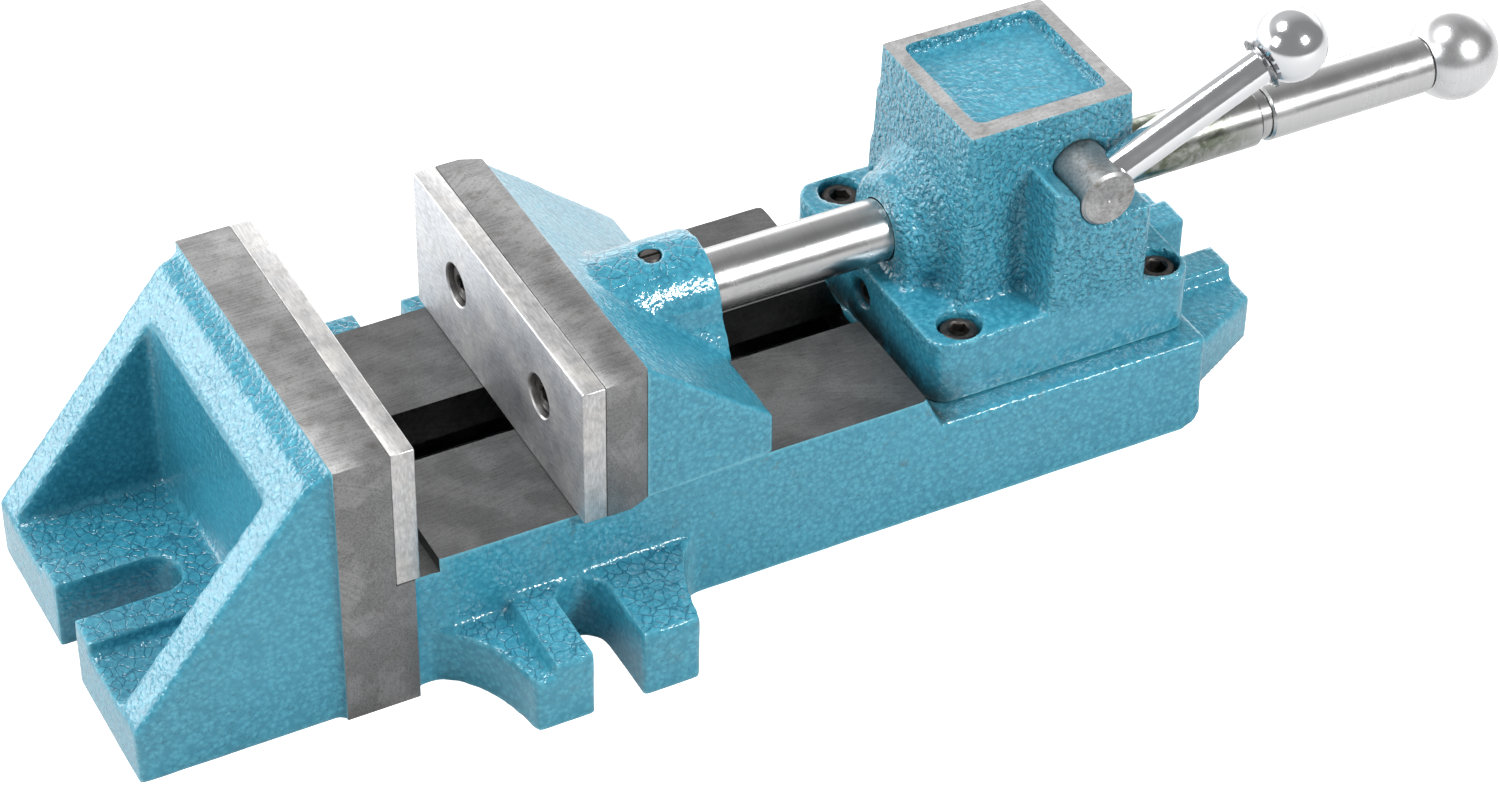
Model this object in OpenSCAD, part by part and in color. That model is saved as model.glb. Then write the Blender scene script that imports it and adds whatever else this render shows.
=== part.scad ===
// Quick-release drill press vise: a push bar slides the jaw, a cam lever locks the bar.
// Origin: face of the fixed jaw plate, centre plane, underside. +X runs towards the handles.

/* [Jaws] */
// Width of both jaws
jaw_width = 101.6; // [96:0.2:112]
// Height of the jaw tops above the underside
jaw_height = 80.5; // [78:0.5:86]
// Opening between the jaw plates as shown
jaw_opening = 44.4; // [36:0.2:60]
// Thickness of a jaw plate
plate_thick = 6.35; // [5.5:0.05:9]
// Distance from the jaw top down to the plate screws
plate_screw_drop = 19; // [14:0.5:24]
// Distance between the two screws of a jaw plate
plate_screw_spacing = 50; // [36:1:64]
// Thickness of the machined block of the fixed jaw
head_thick = 14.85; // [13:0.05:18]
// Thickness of the machined block of the moving jaw
block_thick = 12.45; // [12.2:0.05:16]
// Length of the ribbed back of the moving jaw
wedge_length = 36.5; // [34:0.5:42]
// Height of the ribbed back at its rear end, above the ways
wedge_end_height = 11.6; // [8:0.2:16]

/* [Bed] */
// Height of the ways above the underside
way_height = 39; // [37:0.5:42]
// Width over both ways
way_width = 93.2; // [88:0.2:96]
// Width of the slot between the ways
way_slot = 19; // [16:0.5:24]
// Distance from the fixed plate to the rear end of the ways
way_length = 144; // [140:0.5:146]
// Height of the pad that carries the housing
pad_height = 29.2; // [28:0.2:31]
// Length of the bed behind the housing
bed_margin = 1.1; // [0.1:0.1:20]
// Extra half width of the bed at its underside
bed_draft = 0.5; // [0:0.1:2]
// Thickness of a way above the hollow
way_thick = 12; // [9:0.5:14]
// Width of the hollow under the bed
hollow_width = 68; // [58:1:76]

/* [Bolt slots] */
// Width of the four bolt slots
bolt_slot = 13.5; // [10:0.5:16]
// Height of the flat pads round the slots
slot_pad_height = 20; // [17:0.5:24]
// Width of the pads of the front and rear slots
slot_pad_width = 34; // [28:1:44]
// Height of the lower floor beside the pads
floor_height = 16; // [12:0.5:16.8]

/* [Foot] */
// Length of the foot in front of the fixed jaw
foot_length = 54; // [46:0.2:64]
// Width of the foot
foot_width = 97.8; // [90:0.2:100]
// Thickness of the side ribs
rib_thick = 11.1; // [8:0.1:14]
// Thickness of the wall behind the pocket
wall_thick = 12.8; // [9:0.2:16]
// Height of the rib at its front edge
rib_front_height = 16.5; // [16.1:0.1:19]
// Depth of the front slot to the centre of its round end
front_slot_depth = 24; // [18:0.5:28]

/* [Side lugs] */
// Distance from the centre plane to the outer face of a lug
lug_reach = 75.6; // [70:0.2:82]
// Distance from the fixed plate to the middle of the lug slots
lug_place = 42; // [38:0.2:52]
// Length of a lug along its outer face
lug_length = 45.2; // [40:0.2:52]
// Depth of the lug slot to the centre of its round end
lug_slot_depth = 20.6; // [15:0.2:22]

/* [Tail] */
// Length of the tail behind the bed
tail_length = 27.6; // [25:0.2:34]
// Width of the tail at its end
tail_end_width = 53.4; // [44:0.2:60]
// Width of the tail at the bed
tail_root_width = 83.2; // [74:0.2:88]
// Height of the underside of the tail
tail_under = 5.6; // [2:0.2:8]
// Thickness of the tail
tail_thick = 14.4; // [12:0.2:16]
// Depth of the rear slot to the centre of its round end
tail_slot_depth = 15; // [12:0.5:16]

/* [Push bar] */
// Diameter of the push bar
bar_d = 17; // [14:0.2:18]
// Height of the bar's axis above the underside
bar_height = 59.4; // [58.4:0.2:60.2]
// Diameter of the round boss that holds the bar
jaw_boss_d = 31; // [28:0.5:34]
// Length of that boss behind the machined block
jaw_boss_length = 38; // [37:0.5:44]
// Distance from the moving jaw's boss to the shoulder of the bar
bar_shoulder_run = 168.8; // [167:0.1:184]
// Diameter of the handle sleeve
sleeve_d = 16.4; // [14:0.2:19]
// Length of the handle sleeve
sleeve_length = 53; // [40:0.2:70]
// Diameter of the handle's ball
handle_ball_d = 26.1; // [22:0.1:32]

/* [Housing] */
// Gap between the ends of the ways and the front of the housing
housing_gap = 1.1; // [0.3:0.1:1.6]
// Length of the housing's flange
flange_length = 78.8; // [76:0.2:79]
// Width of the flange
flange_width = 79.6; // [77:0.2:84]
// Thickness of the flange
flange_thick = 19.3; // [18:0.1:20.5]
// Height of the housing's top above the bar's axis
housing_rise = 40.3; // [38.6:0.1:46.6]
// Length of the housing's top
tower_length = 48.2; // [46:0.2:50]
// Width of the housing's top
tower_width = 47.8; // [45:0.2:52]
// Distance from the flange's front edge to the housing's top face
tower_setback = 17; // [15.5:0.1:18]
// Draft angle of the housing's walls
tower_draft = 3; // [1:0.5:5]
// Width of the raised rim round the top recess
rim_width = 4.4; // [3.4:0.1:8]
// Extra width of that rim on the lever's side
rim_extra = 1.2; // [0:0.1:3]
// Depth of the top recess
recess_depth = 3.6; // [2:0.2:4.4]
// Distance between the housing screws along the vise
screw_spacing_x = 60.2; // [59:0.2:62]
// Distance between the housing screws across the vise
screw_spacing_y = 65; // [62:0.5:68]

/* [Lock lever] */
// Diameter of the cross shaft
shaft_d = 16; // [14:0.2:17]
// Height of the cross shaft's axis above the bar's axis
shaft_rise = 21.6; // [20.8:0.1:22.4]
// Distance from the flange's front edge to the cross shaft
shaft_place = 49.4; // [48.6:0.1:50.4]
// Diameter of the lever rod
lever_d = 10; // [8:0.2:11]
// Distance from the cross shaft to the middle of the lever's ball
lever_length = 62.8; // [50:0.2:90]
// Diameter of the lever's ball
lever_ball_d = 20.2; // [17:0.1:26]
// Angle of the lever above level as shown
lever_angle = 25; // [10:0.5:60]
// How far the lever can drop to level and lock, from where it is shown
lock_swing = 25; // [10:0.5:25]
// How far the lever can lift to release, from where it is shown
release_swing = 90; // [60:1:95]
// Lean of the lock plate as shown
plate_lean = 1.75; // [1:0.05:2]
// Lean of the lock plate for each degree of lever
lean_ratio = 0.0265; // [0.02:0.0005:0.028]
// Thickness of the lock plate
lock_thick = 10; // [8:0.2:11]

/* [Screws] */
// Thread diameter of the cap screws
screw_d = 6; // [5:0.5:6]
// Head diameter of the cap screws
screw_head_d = 10; // [9:0.1:10.4]
// Head height of the housing screws
screw_head_h = 6; // [5:0.5:6.5]
// Head height of the low jaw plate screws
low_head_h = 3.2; // [2.6:0.1:3.6]

/* [Hidden] */
$fn = 96;

paint = [0.27, 0.60, 0.68];
milled = [0.55, 0.54, 0.52];
ground = [0.74, 0.74, 0.73];
steel = [0.66, 0.67, 0.68];
bright = [0.82, 0.83, 0.85];
oxide = [0.16, 0.16, 0.17];
bronze = [0.66, 0.50, 0.30];

// One overrun for all cuts, and the clearances between pieces
over = 1;
slide_gap = 0.15;
seat_gap = 0.03;
run_gap = 0.04;
close_gap = 0.1;
face_gap = 0.3;

// Places along the vise
head_face = -plate_thick;
head_back = head_face - head_thick;
head_lip = 5;
foot_end = head_back - foot_length;
block_face = jaw_opening + plate_thick;
block_back = block_face + block_thick;
wedge_back = block_back + wedge_length;
jaw_boss_back = block_back + jaw_boss_length;
step_run = 5.2;
housing_start = way_length + step_run + housing_gap;
flange_back = housing_start + flange_length;
bed_end = flange_back + bed_margin;
tail_end = bed_end + tail_length;
housing_top = bar_height + housing_rise;

// Jaw plates
plate_bottom = way_height + slide_gap;
plate_screw_z = jaw_height - plate_screw_drop;
counterbore_room = 1.8;
counterbore_d = screw_head_d + counterbore_room;
low_recess = 1.4;
plate_screw_depth = 12;

// Ways and the step down to the housing pad
way_half = way_width / 2;
relief_end = 7;
relief_depth = 4;
hollow_start = 6;
hollow_rear_wall = 8;
hollow_end = bed_end - hollow_rear_wall;
pad_thick = 12;
hollow_top = way_height - way_thick;
pad_under = pad_height - pad_thick;
hollow_step = way_length + step_run;
corner_r = 5;
band_drop = 1.3;
band_run = 5.8;

// Lugs
lug_from = lug_place - lug_length / 2;
lug_to = lug_place + lug_length / 2;
lug_ledge = 5;
lug_root_in = 2;
lug_root = way_half - lug_root_in;
lug_front_run = 17;
lug_back_run = 14;
lug_flank_in = 3.5;
lug_flank_low = 3;
flank_steps = 12;
lug_slot_y = lug_reach - lug_slot_depth;

// Moving jaw
jaw_bottom = way_height + slide_gap;
chamfer_run = 5.7;
chamfer_in = 2.4;
wedge_half = jaw_width / 2 - chamfer_in;
wedge_taper = 1.8;
wedge_top_drop = 0.7;
jaw_boss_r = jaw_boss_d / 2;
boss_spread = 5;
tongue_gap = 0.15;
tongue_front_in = 2;
tongue_from = block_face + tongue_front_in;
tongue_length = 38;
tongue_to = tongue_from + tongue_length;
keeper_gap = 0.25;
keeper_thick = 8;
keeper_width = 52;
keeper_top = hollow_top - keeper_gap;
keeper_bottom = keeper_top - keeper_thick;
keeper_screw_spacing = 20;
keeper_screw_x = (tongue_from + tongue_to) / 2;
washer_d = 12.5;
washer_thick = 1.4;
keeper_screw_rise = 10;

// Push bar
bar_front_in = 8;
bar_front = block_back + bar_front_in;
bar_shoulder = jaw_boss_back + bar_shoulder_run;
neck_share = 0.85;
neck_d = bar_d * neck_share;
neck_length = 3.4;
spigot_d = 12;
sleeve_from = bar_shoulder + neck_length;
sleeve_to = sleeve_from + sleeve_length;
ball_seat = sleeve_to + face_gap;
handle_ball_r = handle_ball_d / 2;
ball_seat_in = 0.4;
ball_seat_r = sleeve_d / 2 - ball_seat_in;
handle_ball_x = ball_seat + sqrt(pow(handle_ball_r, 2) - pow(ball_seat_r, 2));
set_screw_inset = 13.5;
set_screw_x = jaw_boss_back - set_screw_inset;
set_screw_dip = 1;
set_screw_recess = 1.2;
driver_slot = 1;
driver_depth = 1.6;

// Housing
flange_top = pad_height + flange_thick;
flange_r = 6;
recess_r = 2;
tower_from = housing_start + tower_setback;
tower_to = tower_from + tower_length;
tower_half = tower_width / 2;
draft_run = (housing_top - flange_top) * tan(tower_draft);
shaft_x = housing_start + shaft_place;
shaft_z = bar_height + shaft_rise;
shaft_r = shaft_d / 2;
wall_gain = (housing_top - shaft_z) * tan(tower_draft);
saddle_front_run = 15.7;
saddle_back_run = 13.7;
saddle_low_drop = 6;
saddle_high_rise = 6.3;
saddle_flat_run = 8.1;
saddle_from = shaft_x - saddle_front_run;
saddle_to = shaft_x + saddle_back_run;
saddle_low = shaft_z - saddle_low_drop;
saddle_high = shaft_z + saddle_high_rise;
saddle_slope_end = saddle_to - saddle_flat_run;
cavity_front_wall = 6.7;
cavity_room = 2;
cavity_roof = 4.1;
cavity_from = tower_from + cavity_front_wall;
cavity_to = shaft_x + shaft_r + cavity_room;
cavity_half = 15;
cavity_top = housing_top - recess_depth - cavity_roof;
boss_setback = 4.9;
boss_wall = 6;
boss_face = housing_start + boss_setback;
boss_r = bar_d / 2 + boss_wall;
boss_flare_from = 2.8;
boss_flare_length = 8;
boss_flare_gain = 5.5;
boss_flare_r = boss_r + boss_flare_gain;
bush_wall = 2.5;
bush_r = bar_d / 2 + bush_wall;
bush_front_recess = 4.5;
bush_rear_length = 5;
bar_hole_r = bar_d / 2 + face_gap;
housing_screw_inset = 11;
housing_screw_x = housing_start + housing_screw_inset;
cap_recess = 1.6;
screw_floor = flange_top - cap_recess - screw_head_h;
base_thread = 10.6;
dowel_d = 6;
dowel_depth = 9;
dowel_places = [[25.7, 33], [57, -33]];

// Cross shaft, its cam and the lock plate
shaft_face_out = 0.4;
journal_step = 2;
journal_end_in = 1.6;
cam_room = 0.4;
clip_groove_depth = 1;
clip_rise = 1.5;
shaft_face = -flange_width / 2 - shaft_face_out;
journal_r = shaft_r - journal_step;
journal_end = tower_half - journal_end_in;
cam_half = cavity_half - cam_room;
clip_thick = 1.2;
clip_groove_r = shaft_r - clip_groove_depth;
clip_r = shaft_r + clip_rise;
clip_y = -cavity_half + face_gap;
lever_y = -(tower_half + wall_gain - shaft_face) / 2;
rod_root = 5;
ball_bore_depth = 6;
lever_washer_r = 7.4;
lever_washer_thick = 0.7;

pivot_share = 0.33775;
pivot_z = pad_height + (bar_height - pad_height) * pivot_share;
pivot_drop = bar_height - pivot_z;
pivot_arm = shaft_z - pivot_z;
cam_lock_depth = 0.22;
cam_lock_h = shaft_r - cam_lock_depth;
lock_lean = plate_lean + lean_ratio * lock_swing;
// The plate's rear face lies this far from the shaft's axis when locked
cam_reach = cam_lock_h + close_gap;
pivot_x = shaft_x - (cam_reach + lock_thick / 2 - pivot_arm * sin(lock_lean)) / cos(lock_lean);
lock_foot = 7;
lock_head = 9;
lock_half = 14;
lock_head_half = 9.8;
lock_shoulder = 0.8;
lock_hole_room = 0.35;
lock_hole_r = bar_d / 2 + lock_hole_room;
pin_r = 2.5;
pin_from = -19;
pin_end_in = 2;
pin_to = flange_width / 2 - pin_end_in;
adjust_d = 8;
adjust_recess = 1.6;
spring_drop = 3;
spring_z = shaft_z - spring_drop;
spring_r = 4;
spring_wire = 1;
spring_pocket = 3.6;
socket_share = 0.5;

// Cam: distance from the shaft's axis to the plate's rear face at a lean
function face_reach(lean) =
  (shaft_x - pivot_x) * cos(lean) + pivot_arm * sin(lean) - lock_thick / 2 - close_gap;
// Lean of the plate when the cam meets it with its side at the angle a
function lean_at(a) = plate_lean + lean_ratio * (a - 180 - plate_lean) / (1 + lean_ratio);
function cam_h(a) = face_reach(lean_at(a));
function cam_dh(a) = (pivot_arm * cos(lean_at(a)) - (shaft_x - pivot_x) * sin(lean_at(a)))
  * lean_ratio / (1 + lean_ratio);
function cam_point(a) = [
  cam_h(a) * cos(a) - cam_dh(a) * sin(a),
  cam_h(a) * sin(a) + cam_dh(a) * cos(a)
];
cam_low = 180 - release_swing - 5;
cam_high = 180 + lock_swing + 5;
cam_step = 5;
arc_from = cam_high + acos(min(1, cam_h(cam_high) / shaft_r));
arc_to = cam_low - acos(min(1, cam_h(cam_low) / shaft_r)) + 360;
arc_steps = 30;
cam_outline = concat(
  [for (a = [cam_low : cam_step : cam_high]) cam_point(a)],
  [for (i = [0 : arc_steps]) let (a = arc_from + (arc_to - arc_from) * i / arc_steps)
    [shaft_r * cos(a), shaft_r * sin(a)]]
);

// Solids between two places
module block(x0, x1, y0, y1, z0, z1) {
  translate([x0, y0, z0]) cube([x1 - x0, y1 - y0, z1 - z0]);
}
module bar_x(r, x0, x1, y = 0, z = 0) {
  translate([x0, y, z]) rotate([0, 90, 0]) cylinder(r = r, h = x1 - x0);
}
module bar_y(r, y0, y1, x = 0, z = 0) {
  translate([x, y1, z]) rotate([90, 0, 0]) cylinder(r = r, h = y1 - y0);
}
module bar_z(r, z0, z1, x = 0, y = 0) {
  translate([x, y, z0]) cylinder(r = r, h = z1 - z0);
}
// A flat outline in Y and Z, drawn out along X
module along_x(x0, x1) {
  translate([x0, 0, 0]) rotate([90, 0, 90]) linear_extrude(x1 - x0) children();
}
// A flat outline in X and Z, drawn out along Y
module along_y(y0, y1) {
  translate([0, y1, 0]) rotate([90, 0, 0]) linear_extrude(y1 - y0) children();
}
module along_z(z0, z1) {
  translate([0, 0, z0]) linear_extrude(z1 - z0) children();
}
module rounded_plate(x0, x1, half, r) {
  translate([x0 + r, -half]) square([x1 - x0 - 2 * r, 2 * half]);
  translate([x0, -half + r]) square([x1 - x0, 2 * half - 2 * r]);
  for (x = [x0 + r, x1 - r], y = [-half + r, half - r]) translate([x, y]) circle(r = r);
}
// An open slot with a round end, from x0 to the centre of the round at x1
module slot_x(x0, x1, y = 0) {
  translate([min(x0, x1), y - bolt_slot / 2]) square([abs(x1 - x0), bolt_slot]);
  translate([x1, y]) circle(d = bolt_slot);
}

// Cap screw along -Z from the top of its head at the origin
module cap_screw(length, head_h, head_d = screw_head_d, d = screw_d) {
  difference() {
    union() {
      translate([0, 0, -head_h]) cylinder(d = head_d, h = head_h);
      translate([0, 0, -head_h - length]) cylinder(d = d, h = length);
    }
    translate([0, 0, -head_h * socket_share])
      cylinder(d = d, h = head_h * socket_share + over, $fn = 6);
  }
}
// Set screw along -Z with a socket in its top
module set_screw(length, d) {
  difference() {
    translate([0, 0, -length]) cylinder(d = d - 2 * seat_gap, h = length);
    translate([0, 0, -d * socket_share])
      cylinder(d = d * socket_share, h = d * socket_share + over, $fn = 6);
  }
}

module bed_body() {
  intersection() {
    along_y(-way_width, way_width) difference() {
      polygon([
        [head_back, 0], [bed_end, 0], [bed_end, pad_height],
        [way_length + step_run, pad_height], [way_length, way_height], [head_back, way_height]
      ]);
      difference() {
        translate([bed_end - corner_r, 0]) square(corner_r);
        translate([bed_end - corner_r, corner_r]) circle(r = corner_r);
      }
    }
    along_x(head_back, bed_end) polygon([
      [-way_half - bed_draft, 0], [way_half + bed_draft, 0],
      [way_half, way_height], [-way_half, way_height]
    ]);
  }
}
module foot_body() {
  difference() {
    along_y(-foot_width / 2, foot_width / 2) polygon([
      [foot_end, 0], [head_back, 0], [head_back, jaw_height - band_drop],
      [head_back - band_run, jaw_height - band_drop - band_drop * 2],
      [foot_end, rib_front_height]
    ]);
    block(
      foot_end - over, head_back - wall_thick,
      -foot_width / 2 + rib_thick, foot_width / 2 - rib_thick, floor_height, jaw_height
    );
  }
  block(
    foot_end, head_back - wall_thick, -slot_pad_width / 2, slot_pad_width / 2, 0, slot_pad_height
  );
}
// A flank of a lug, curving from its outer corner at x out along the bed by run
function flank(x, run) = [
  for (i = [0 : flank_steps]) let (t = i / flank_steps, u = 1 - t) [
    u * u * x + 2 * u * t * (x + sign(run) * lug_flank_in) + t * t * (x + run),
    u * u * lug_reach + 2 * u * t * (way_half + lug_flank_low) + t * t * way_half
  ]
];
module lug_outline() {
  polygon(concat(
    flank(lug_from, -lug_front_run),
    [[lug_from - lug_front_run, lug_root], [lug_to + lug_back_run, lug_root]],
    [for (i = [flank_steps : -1 : 0]) flank(lug_to, lug_back_run)[i]]
  ));
}
module lug() {
  difference() {
    union() {
      along_z(0, floor_height) lug_outline();
      along_z(0, slot_pad_height) intersection() {
        lug_outline();
        translate([lug_from + lug_ledge, 0]) square([lug_reach, lug_reach]);
      }
    }
    along_z(-over, slot_pad_height + over) {
      translate([lug_place, lug_slot_y]) circle(d = bolt_slot);
      translate([lug_place - bolt_slot / 2, lug_slot_y]) square([bolt_slot, lug_reach]);
    }
  }
}
module tail_body() {
  difference() {
    union() {
      along_z(tail_under, tail_under + tail_thick) polygon([
        [bed_end - corner_r, -tail_root_width / 2], [bed_end, -tail_root_width / 2],
        [tail_end, -tail_end_width / 2], [tail_end, tail_end_width / 2],
        [bed_end, tail_root_width / 2], [bed_end - corner_r, tail_root_width / 2]
      ]);
      block(
        bed_end - corner_r, tail_end, -slot_pad_width / 2, slot_pad_width / 2, tail_under,
        tail_under + tail_thick + slot_pad_height - floor_height
      );
    }
    along_z(0, way_height) slot_x(tail_end + over, tail_end - tail_slot_depth);
  }
}
module base() {
  color(paint) difference() {
    union() {
      bed_body();
      foot_body();
      block(head_back, head_face, -jaw_width / 2, jaw_width / 2, 0, jaw_height);
      block(head_back, head_face + head_lip, -jaw_width / 2, jaw_width / 2, 0, way_height);
      lug();
      mirror([0, 1, 0]) lug();
      tail_body();
    }
    along_z(-over, slot_pad_height + over)
      slot_x(foot_end - over, foot_end + front_slot_depth);
    // Slot between the ways, the relief in front of them and the hollow beneath
    block(
      head_face, way_length + step_run, -way_slot / 2, way_slot / 2, hollow_top, way_height + over
    );
    block(
      head_face + head_lip, relief_end, -way_width, way_width, way_height - relief_depth,
      way_height + over
    );
    block(
      hollow_start, hollow_step, -hollow_width / 2, hollow_width / 2, -over, hollow_top
    );
    block(
      hollow_step, hollow_end, -hollow_width / 2, hollow_width / 2, -over, pad_under
    );
    for (y = [-1, 1]) bar_x(
      screw_d / 2 + seat_gap, head_face - plate_screw_depth, head_face + over,
      y * plate_screw_spacing / 2, plate_screw_z
    );
    for (x = [0, 1], y = [-1, 1]) bar_z(
      screw_d / 2 + seat_gap, pad_under - over, pad_height + over,
      housing_screw_x + x * screw_spacing_x, y * screw_spacing_y / 2
    );
    for (p = dowel_places) bar_z(
      dowel_d / 2 + seat_gap, pad_height - dowel_depth, pad_height + over,
      housing_start + p[0], p[1]
    );
  }
}

// A jaw plate with its clamping face at x = 0, its back at x = plate_thick
module jaw_plate() {
  color(ground) difference() {
    block(0, plate_thick, -jaw_width / 2, jaw_width / 2, plate_bottom, jaw_height);
    for (y = [-1, 1]) {
      bar_x(
        counterbore_d / 2, -over, low_recess + low_head_h, y * plate_screw_spacing / 2,
        plate_screw_z
      );
      bar_x(
        screw_d / 2 + close_gap, 0, plate_thick + over, y * plate_screw_spacing / 2, plate_screw_z
      );
    }
  }
}
module plate_screws() {
  length = plate_thick - low_recess - low_head_h + plate_screw_depth - over;
  color(oxide) for (y = [-1, 1])
    translate([low_recess, y * plate_screw_spacing / 2, plate_screw_z])
      rotate([0, -90, 0]) cap_screw(length, low_head_h);
}
module fixed_jaw_plate() {
  mirror([1, 0, 0]) jaw_plate();
}
module fixed_plate_screws() {
  mirror([1, 0, 0]) plate_screws();
}
module moving_jaw_plate() {
  translate([jaw_opening, 0, 0]) jaw_plate();
}
module moving_plate_screws() {
  translate([jaw_opening, 0, 0]) plate_screws();
}

module wedge_body() {
  intersection() {
    along_y(-jaw_width / 2, jaw_width / 2) polygon([
      [block_back - chamfer_run, jaw_bottom], [wedge_back, jaw_bottom],
      [wedge_back, way_height + wedge_end_height],
      [block_back, jaw_height - wedge_top_drop], [block_back - chamfer_run, jaw_height - wedge_top_drop]
    ]);
    along_z(0, jaw_height) polygon([
      [block_back - chamfer_run, -wedge_half], [block_back, -wedge_half],
      [wedge_back, -wedge_half + wedge_taper], [wedge_back, wedge_half - wedge_taper],
      [block_back, wedge_half], [block_back - chamfer_run, wedge_half]
    ]);
  }
}
module moving_jaw() {
  color(paint) difference() {
    union() {
      along_z(jaw_bottom, jaw_height) polygon([
        [block_face, -jaw_width / 2], [block_back - chamfer_run, -jaw_width / 2],
        [block_back, -wedge_half], [block_back, wedge_half],
        [block_back - chamfer_run, jaw_width / 2], [block_face, jaw_width / 2]
      ]);
      wedge_body();
      bar_x(jaw_boss_r, block_back - over, jaw_boss_back, 0, bar_height);
      along_x(block_back - over, jaw_boss_back) polygon([
        [-jaw_boss_r - boss_spread, jaw_bottom], [jaw_boss_r + boss_spread, jaw_bottom],
        [jaw_boss_r + boss_spread, way_height + wedge_end_height], [jaw_boss_r, bar_height],
        [-jaw_boss_r, bar_height], [-jaw_boss_r - boss_spread, way_height + wedge_end_height]
      ]);
      block(
        tongue_from, tongue_to, -way_slot / 2 + tongue_gap, way_slot / 2 - tongue_gap, keeper_top,
        jaw_bottom + over
      );
    }
    bar_x(bar_d / 2 + seat_gap, bar_front - close_gap, jaw_boss_back + over, 0, bar_height);
    bar_z(screw_d / 2, bar_height, bar_height + jaw_boss_d, set_screw_x);
    for (y = [-1, 1]) bar_x(
      screw_d / 2 + seat_gap, block_face - over, block_face + plate_screw_depth,
      y * plate_screw_spacing / 2, plate_screw_z
    );
    for (x = [-1, 1]) bar_z(
      screw_d / 2 + seat_gap, keeper_top - over, keeper_top + keeper_screw_rise + over,
      keeper_screw_x + x * keeper_screw_spacing / 2
    );
  }
}
module jaw_keeper() {
  color(milled) difference() {
    block(
      tongue_from, tongue_to, -keeper_width / 2, keeper_width / 2, keeper_bottom, keeper_top
    );
    for (x = [-1, 1]) bar_z(
      screw_d / 2 + close_gap, keeper_bottom - over, keeper_top + over,
      keeper_screw_x + x * keeper_screw_spacing / 2
    );
  }
}
module keeper_washers() {
  color(steel) for (x = [-1, 1])
    translate([keeper_screw_x + x * keeper_screw_spacing / 2, 0, keeper_bottom - washer_thick])
      difference() {
        cylinder(d = washer_d, h = washer_thick);
        translate([0, 0, -over])
          cylinder(d = screw_d + 2 * close_gap, h = washer_thick + 2 * over);
      }
}
module keeper_screws() {
  length = washer_thick + keeper_thick + keeper_screw_rise;
  color(oxide) for (x = [-1, 1])
    translate([
      keeper_screw_x + x * keeper_screw_spacing / 2, 0, keeper_bottom - washer_thick - screw_head_h
    ])
      mirror([0, 0, 1]) cap_screw(length, screw_head_h);
}

module push_bar() {
  color(bright) difference() {
    union() {
      bar_x(bar_d / 2, bar_front, bar_shoulder, 0, bar_height);
      bar_x(neck_d / 2, bar_shoulder - over, sleeve_from, 0, bar_height);
      bar_x(spigot_d / 2, sleeve_from - over, handle_ball_x - over, 0, bar_height);
    }
    bar_z(
      screw_d / 2, bar_height + bar_d / 2 - set_screw_dip, bar_height + bar_d, set_screw_x
    );
  }
}
module bar_set_screw() {
  tip = bar_height + bar_d / 2 - set_screw_dip + close_gap;
  length = bar_height + jaw_boss_r - set_screw_recess - tip;
  color(oxide) translate([set_screw_x, 0, tip]) difference() {
    cylinder(d = screw_d - 2 * seat_gap, h = length);
    translate([-screw_d, -driver_slot / 2, length - driver_depth])
      cube([2 * screw_d, driver_slot, driver_depth + over]);
  }
}
module handle_sleeve() {
  color(bright) difference() {
    bar_x(sleeve_d / 2, sleeve_from + seat_gap, sleeve_to, 0, bar_height);
    bar_x(spigot_d / 2 + seat_gap, sleeve_from - over, sleeve_to + over, 0, bar_height);
  }
}
module handle_ball() {
  hole_r = spigot_d / 2 + seat_gap;
  color(bright) translate([handle_ball_x, 0, bar_height]) rotate([0, 90, 0]) rotate_extrude()
    difference() {
      intersection() {
        circle(r = handle_ball_r);
        translate([0, ball_seat - handle_ball_x]) square(handle_ball_d);
      }
      translate([0, -handle_ball_d]) square([hole_r, handle_ball_d - over + close_gap]);
    }
}

module tower_body() {
  intersection() {
    along_y(-flange_width, flange_width) polygon([
      [tower_from - draft_run, flange_top], [tower_to + draft_run, flange_top],
      [tower_to, housing_top], [tower_from, housing_top]
    ]);
    along_x(housing_start, flange_back) polygon([
      [-tower_half - draft_run, flange_top], [tower_half + draft_run, flange_top],
      [tower_half, housing_top], [-tower_half, housing_top]
    ]);
  }
}
module front_boss() {
  along_x(boss_face, cavity_from) {
    translate([0, bar_height]) circle(r = boss_r);
    translate([-boss_r, flange_top - over]) square([2 * boss_r, bar_height - flange_top + over]);
  }
  translate([boss_face + boss_flare_from, 0, bar_height]) rotate([0, 90, 0])
    cylinder(r1 = boss_r, r2 = boss_flare_r, h = boss_flare_length);
}
module saddle_body() {
  along_y(-flange_width / 2, -cavity_half) polygon([
    [saddle_from, pad_height], [saddle_to, pad_height], [saddle_to, saddle_low],
    [saddle_slope_end, saddle_low], [saddle_from, saddle_high]
  ]);
}
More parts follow.
